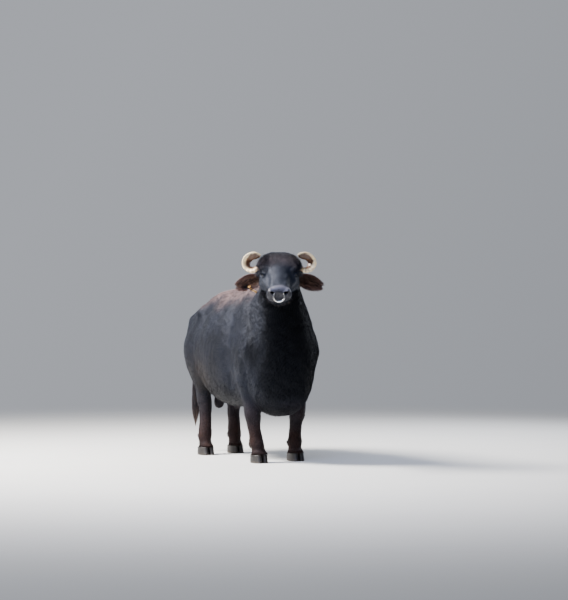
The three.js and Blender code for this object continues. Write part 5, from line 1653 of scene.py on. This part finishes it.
poll = smoothly(local[:, 1], 250, 30) * (local[:, 1] > 8) * (local[:, 2] > 30)
poll = poll * (np.abs(local[:, 0]) < 165) * (ear_zone < 0)
spot, facing = rooted(poll, many(3600))
beside, down_brow, _ = in_head(spot).T
spread = beside[:, None] / 160
way = head_forward + head_side * (0.4 + 0.5 * spread**2) * spread + np.array([0, 0, 0.1])
way = unit(way - facing * (way * facing).sum(-1, keepdims=True))
shorter = smoothly(down_brow, 40, 230)
long = mix(*FORELOCK_LONG, dice.beta(2, 2, len(spot))) * mix(1, 0.36, shorter)
lift = mix(*FORELOCK_LIFT, dice.beta(1.5, 2.5, len(spot))) * mix(1, 0.4, shorter)
beside = smoothly(np.abs(beside), 56, 112) * (1 - shorter)
lift = lift * (1 + beside) + FORELOCK_PUFF * beside * dice.random(len(spot))
long_locks("forelock", spot, facing, way, long + 14 * beside, lift, 0.1, 6, 0.35, 0.3)

for name, side in (("horn_foot_hair_right", -1), ("horn_foot_hair_left", 1)):
    foot = horn_surface(side, np.zeros((1, 24)), np.linspace(0, 6.28, 24)[None])[0][0].mean(0)
    near = np.linalg.norm(middles - (foot - head_side * side * 46), axis=1) < 74
    spot, facing = rooted(near & (ear_zone < 0), many(520))
    way = unit(head_side * side + 0.2 * (foot - spot) / 60)
    way = unit(way - 0.55 * facing * (way * facing).sum(-1, keepdims=True))
    long, lift = mix(26, 52, dice.random(len(spot))), mix(2, 8, dice.random(len(spot)))
    long_locks(name, spot, facing, way, long, lift, 0.15, 4, 0.1, 0.2)

# The ears are edged with a fringe and have long pale hair inside. It is left off round the tag's
# pin, where the tag has rubbed it away.
FRINGE_OFF, WISPS_OFF = 24, 34
for name, side in (("ear_hair_right", -1), ("ear_hair_left", 1)):
    _, outward, opening, across = ear_frame(side)
    outer_hair = hair_ok & (ear_share(middles, side) > 0)
    grown(name, outer_hair, 3600, (9, 18), 1.4, (0.5, 2.5))
    count = many(1200)
    t = dice.uniform(0.1, 1.0, count)
    edge = dice.choice([-1, 1], count) * (1 - 0.06 * dice.random(count))
    clear = np.linalg.norm(ear_surface(side, t, edge, 1.5) - pinned, axis=1) > FRINGE_OFF
    t, edge = t[clear], edge[clear]
    count = len(t)
    spot = ear_surface(side, t, edge, 1.5)
    beyond = across * edge[:, None]
    way = unit(outward * mix(0.4, 1.6, t**2)[:, None] + beyond * 0.9 + opening * 0.25)
    facing = unit(np.cross(way, np.cross(opening, way)))
    long = mix(8, 24, dice.beta(2, 2, count))[:, None]
    tip = spot + way * long + np.array([0, 0, -0.12]) * long
    fringe = np.stack([spot - way * 9 - opening, spot + way * long * 0.5, tip], 1)
    widths = uneven_width(1.7, count) * (1, 0.6)
    marks = markings(spot, facing)
    marks |= {"tint": dice.random(count), "pale": 0.6 * dice.random(count), "dark": 0 * t}
    coat_mesh(f"fringe_{name}", fringe, widths, facing, marks)

    count = many(520)
    t, place = dice.uniform(0.06, 0.86, count), dice.uniform(-0.8, 0.8, count)
    clear = np.linalg.norm(ear_surface(side, t, place, 6) - pinned, axis=1) > WISPS_OFF
    t, place = t[clear], place[clear]
    count = len(t)
    spot = ear_surface(side, t, place, EAR_WALL - 1)
    to_rim = -across * np.sign(place)[:, None] * dice.uniform(0.0, 0.5, count)[:, None]
    lean = dice.normal(0, 0.25, (count, 3))
    way = unit(opening * 0.75 + outward * 0.8 + across * 0.15 + to_rim + lean)
    long = mix(26, 62, dice.beta(2, 2, count))[:, None]
    bent = [spot + way * long * far + outward * long * by for far, by in ((0.7, 0.12), (0.9, 0.32))]
    bent[1] = bent[1] - [0, 0, 3]
    wisp = np.stack([spot - opening * 2, spot + way * long * 0.35, *bent], 1)
    widths = uneven_width(1.3, count) * (1, 0.8, 0.5)
    marks = markings(spot, np.broadcast_to(opening, spot.shape))
    marks |= {"tint": dice.random(count), "pale": mix(0.2, 0.9, dice.random(count)), "dark": 0 * t}
    facing = unit(np.cross(way, np.cross(outward, way)))
    coat_mesh(f"inside_{name}", wisp, widths, facing, marks)

# The switch: the brush of long coarse hair round the end of the tail, black and bleached brown
# at the tip, which hangs nearly to the hocks.
SWITCH_FROM, SWITCH_TIP, SWITCH_PUFF = 0.62, 205.0, 30.0
count = many(1700)
t = dice.uniform(SWITCH_FROM, 1.0, count) ** 0.9
root = through(TAIL_PATH, np.minimum(t, 0.999))
angle = dice.uniform(0, 2 * np.pi, count)
rim = np.stack([np.cos(angle), np.sin(angle), 0 * angle], 1)
rim_half = mix(TAIL_HALF, TAIL_END, t**0.6)[:, None, None]
long = root[:, 2] - (SWITCH_TIP + 150 * dice.beta(1.2, 3.0, count) + 130 * (1 - t))
share = np.linspace(0, 1, 9)[None, :, None]
puff = SWITCH_PUFF * dice.uniform(0.2, 1.0, count)[:, None, None]
swell = np.sin(np.clip(share * 1.08, 0, 1) * np.pi) ** 0.8 * (1 - 0.35 * share)
wave = 5.0 * np.sin(share * 6 + angle[:, None, None] * 2) * share
strand = root[:, None, :] + rim[:, None, :] * (0.8 * rim_half * (1 - share) + puff * swell)
strand = strand + np.array([-6.0, -4.0, 0]) * share + rim[:, None, ::-1] * wave * (1, 1, 0)
strand[:, :, 2] = root[:, 2:3] - long[:, None] * share[:, :, 0]
marks = {key: (key == "limb") + 0 * t for key in MARKS}
marks |= {"tint": 0.8 * dice.random(count), "pale": mix(0.15, 0.7, dice.random(count))}
coat_mesh("tail_switch", strand, uneven_width(2.6, count) * np.linspace(1, 0.4, 8), rim, marks)

# The tuft of long hair that hangs from the sheath under the belly.
TUFT_Y, TUFT_Z, TUFT_LONG, TUFT_HALF = 150.0, 452.0, 74.0, 20
count = many(240)
angle = dice.uniform(0, 2 * np.pi, count)
out = np.stack([np.cos(angle), np.sin(angle), 0 * angle], 1)
spot = np.array([0, TUFT_Y, TUFT_Z + 8]) + out * (TUFT_HALF * np.sqrt(dice.random(count)))[:, None]
long = TUFT_LONG * mix(0.6, 1.0, dice.random(count))
share = np.linspace(0, 1, 6)[None, :, None]
drop = np.array([0, 0.1, -1.0]) * long[:, None, None] * share
strand = spot[:, None, :] + drop + out[:, None, :] * 8 * np.sin(share * 2.2)
marks = markings(spot, -out) | {"tint": dice.random(count), "pale": 0.2 * dice.random(count)}
coat_mesh("sheath_tuft", strand, uneven_width(2.4, count) * np.linspace(1, 0.4, 5), out, marks)

# Lashes along the upper lids, and whiskers round the lips and on the chin, each a single hair
# drawn 0.5 to 0.9 mm thick, where a real one is 0.3 mm.
LASHES = 64
for name, side in (("lashes_right", -1), ("lashes_left", 1)):
    gaze = side * math.sin(EYE_FACING) * head_side + math.cos(EYE_FACING) * head_axis
    level = unit(np.cross(head_up, gaze))
    over = np.cross(gaze, level)
    place = np.linspace(-0.92, 0.92, LASHES) + dice.normal(0, 0.02, LASHES)
    flat, rise = place * LID_HALF, LID_HIGH * (1 - place**2) + 2
    depth = np.sqrt(np.maximum((EYE_RADIUS + LID - 1) ** 2 - flat**2 - rise**2, 9))
    spot = eye_middle(side) + level * flat[:, None] + over * rise[:, None] + gaze * depth[:, None]
    long = mix(12, 20, dice.random(LASHES))[:, None]
    way = unit(gaze * 0.95 + level * (place * 0.45)[:, None] - over * 0.12)
    bent = [spot + long * (way * far + over * by) for far, by in ((0.5, -0.06), (0.85, 0.02), (1.05, 0.16))]
    marks = markings(spot, np.broadcast_to(gaze, spot.shape))
    marks |= {"tint": 0.2 * dice.random(LASHES), "pale": 0 * place, "dark": 1 + 0 * place}
    widths = np.ones((LASHES, 1)) * (0.8, 0.7, 0.5)
    lash = np.stack([spot - gaze * 3, *bent], 1)
    coat_mesh(name, lash, widths, np.broadcast_to(over, spot.shape), marks)

lips = head_zone & (local[:, 1] > 400) & (local[:, 2] < 10) & ~muzzle_zone
spot, facing = rooted(lips * (0.4 + (local[:, 2] < -50)), many(260))
count = len(spot)
way = unit(facing + 0.5 * head_axis - np.array([0, 0, 0.3]) + dice.normal(0, 0.15, spot.shape))
long = mix(14, 38, dice.random(count))[:, None]
whisker = np.stack([spot - facing, spot + way * long * 0.5, spot + way * long - [0, 0, 2]], 1)
marks = markings(spot, facing)
marks |= {"tint": dice.random(count), "pale": 0.5 * dice.random(count), "bare": 0 * long[:, 0]}
coat_mesh("whiskers", whisker, np.ones((count, 1)) * (0.9, 0.7), facing, marks)

# The studio: a pale floor that melts into an even pale backdrop. A large soft light stands high on
# the bull's right and a little behind, as the sun does in the photograph. A broad weaker one
# lights the face from in front, and a faint one picks out the far side.
FLOOR_HALF, FLOOR_ROWS = 30.0, 13
FLOOR_FULL, FLOOR_GONE = 2.2, 9.0
ROOM_SLOPE, ROOM_STRENGTH = (-0.4, 0.78, 0.48), 0.62
LIGHTS = (
    ("key", (-4.0, 1.6, 5.6), (0, 0, 1.0), 2.2, 2300, "#fffaf4"),
    ("sky", (-3.6, -4.6, 6.4), (-0.2, -0.6, 1.2), 3.5, 430, "#bccaf4"),
    ("edge", (5.0, 2.6, 3.4), (0, 0.2, 1.0), 3.0, 260, "#e2e8f6"),
)

# Matt background paper: it takes a soft shadow and gives no shine, and fades out with distance.
paper, tree = new_finish("pale_studio_paper")
place = add(tree, "TexCoord", out="Object")
mottle = add(tree, "TexNoise", {"Vector": place, "Scale": 1.3, "Detail": 3.0})
tones = {0: mottle, 6: linear("#d3d3d1"), 7: linear("#dadad7")}
tone = add(tree, "Mix", tones, 2, data_type="RGBA")
far = add(tree, "VectorMath", {0: place}, "Value", operation="LENGTH")
span = {0: far, 1: FLOOR_FULL, 2: FLOOR_GONE}
melted = {
    0: add(tree, "MapRange", span, interpolation_type="SMOOTHSTEP"),
    1: add(tree, "BsdfPrincipled", {"Base Color": tone, "Roughness": 0.85}),
    2: add(tree, "BsdfTransparent"),
}
add(tree, "OutputMaterial", {"Surface": add(tree, "MixShader", melted)})

grid = np.linspace(-FLOOR_HALF, FLOOR_HALF, FLOOR_ROWS) * 1000
gx, gy = np.meshgrid(grid, grid, indexing="ij")
corner = np.arange(FLOOR_ROWS - 1)[:, None] * FLOOR_ROWS + np.arange(FLOOR_ROWS - 1)[None, :]
squares = [corner, corner + FLOOR_ROWS, corner + FLOOR_ROWS + 1, corner + 1]
squares = np.stack(squares, -1).reshape(-1, 4).tolist()
corners = np.stack([gx.ravel(), gy.ravel(), 0 * gx.ravel()], 1) - SHIFT
studio_floor = new_piece("studio_floor", corners, squares, paper, smooth=False)

# The room is pale behind the animal and overhead, and dark where the camera stands.
world = bpy.data.worlds.new("studio")
bpy.context.scene.world = world
world.use_nodes = True
tree = world.node_tree
look = add(tree, "TexCoord", out="Generated")
lit = add(tree, "VectorMath", {0: look, 1: ROOM_SLOPE}, "Value", operation="DOT_PRODUCT")
room = {0: add(tree, "MapRange", {0: lit, 1: -0.45, 2: 0.6})}
room |= {6: linear("#363e48"), 7: linear("#d9dde6")}
wall = add(tree, "Mix", room, 2, data_type="RGBA")
tree.links.new(wall, tree.nodes["Background"].inputs["Color"])
tree.nodes["Background"].inputs["Strength"].default_value = ROOM_STRENGTH

for name, place, aim, size, power, colour in LIGHTS:
    lamp = bpy.data.lights.new(name, "AREA")
    lamp.size, lamp.energy, lamp.color = size, power, linear(colour)[:3]
    made = bpy.data.objects.new(name, lamp)
    made.location = place
    made.rotation_euler = (Vector(aim) - Vector(place)).to_track_quat("-Z", "Y").to_euler()
    bpy.context.scene.collection.objects.link(made)
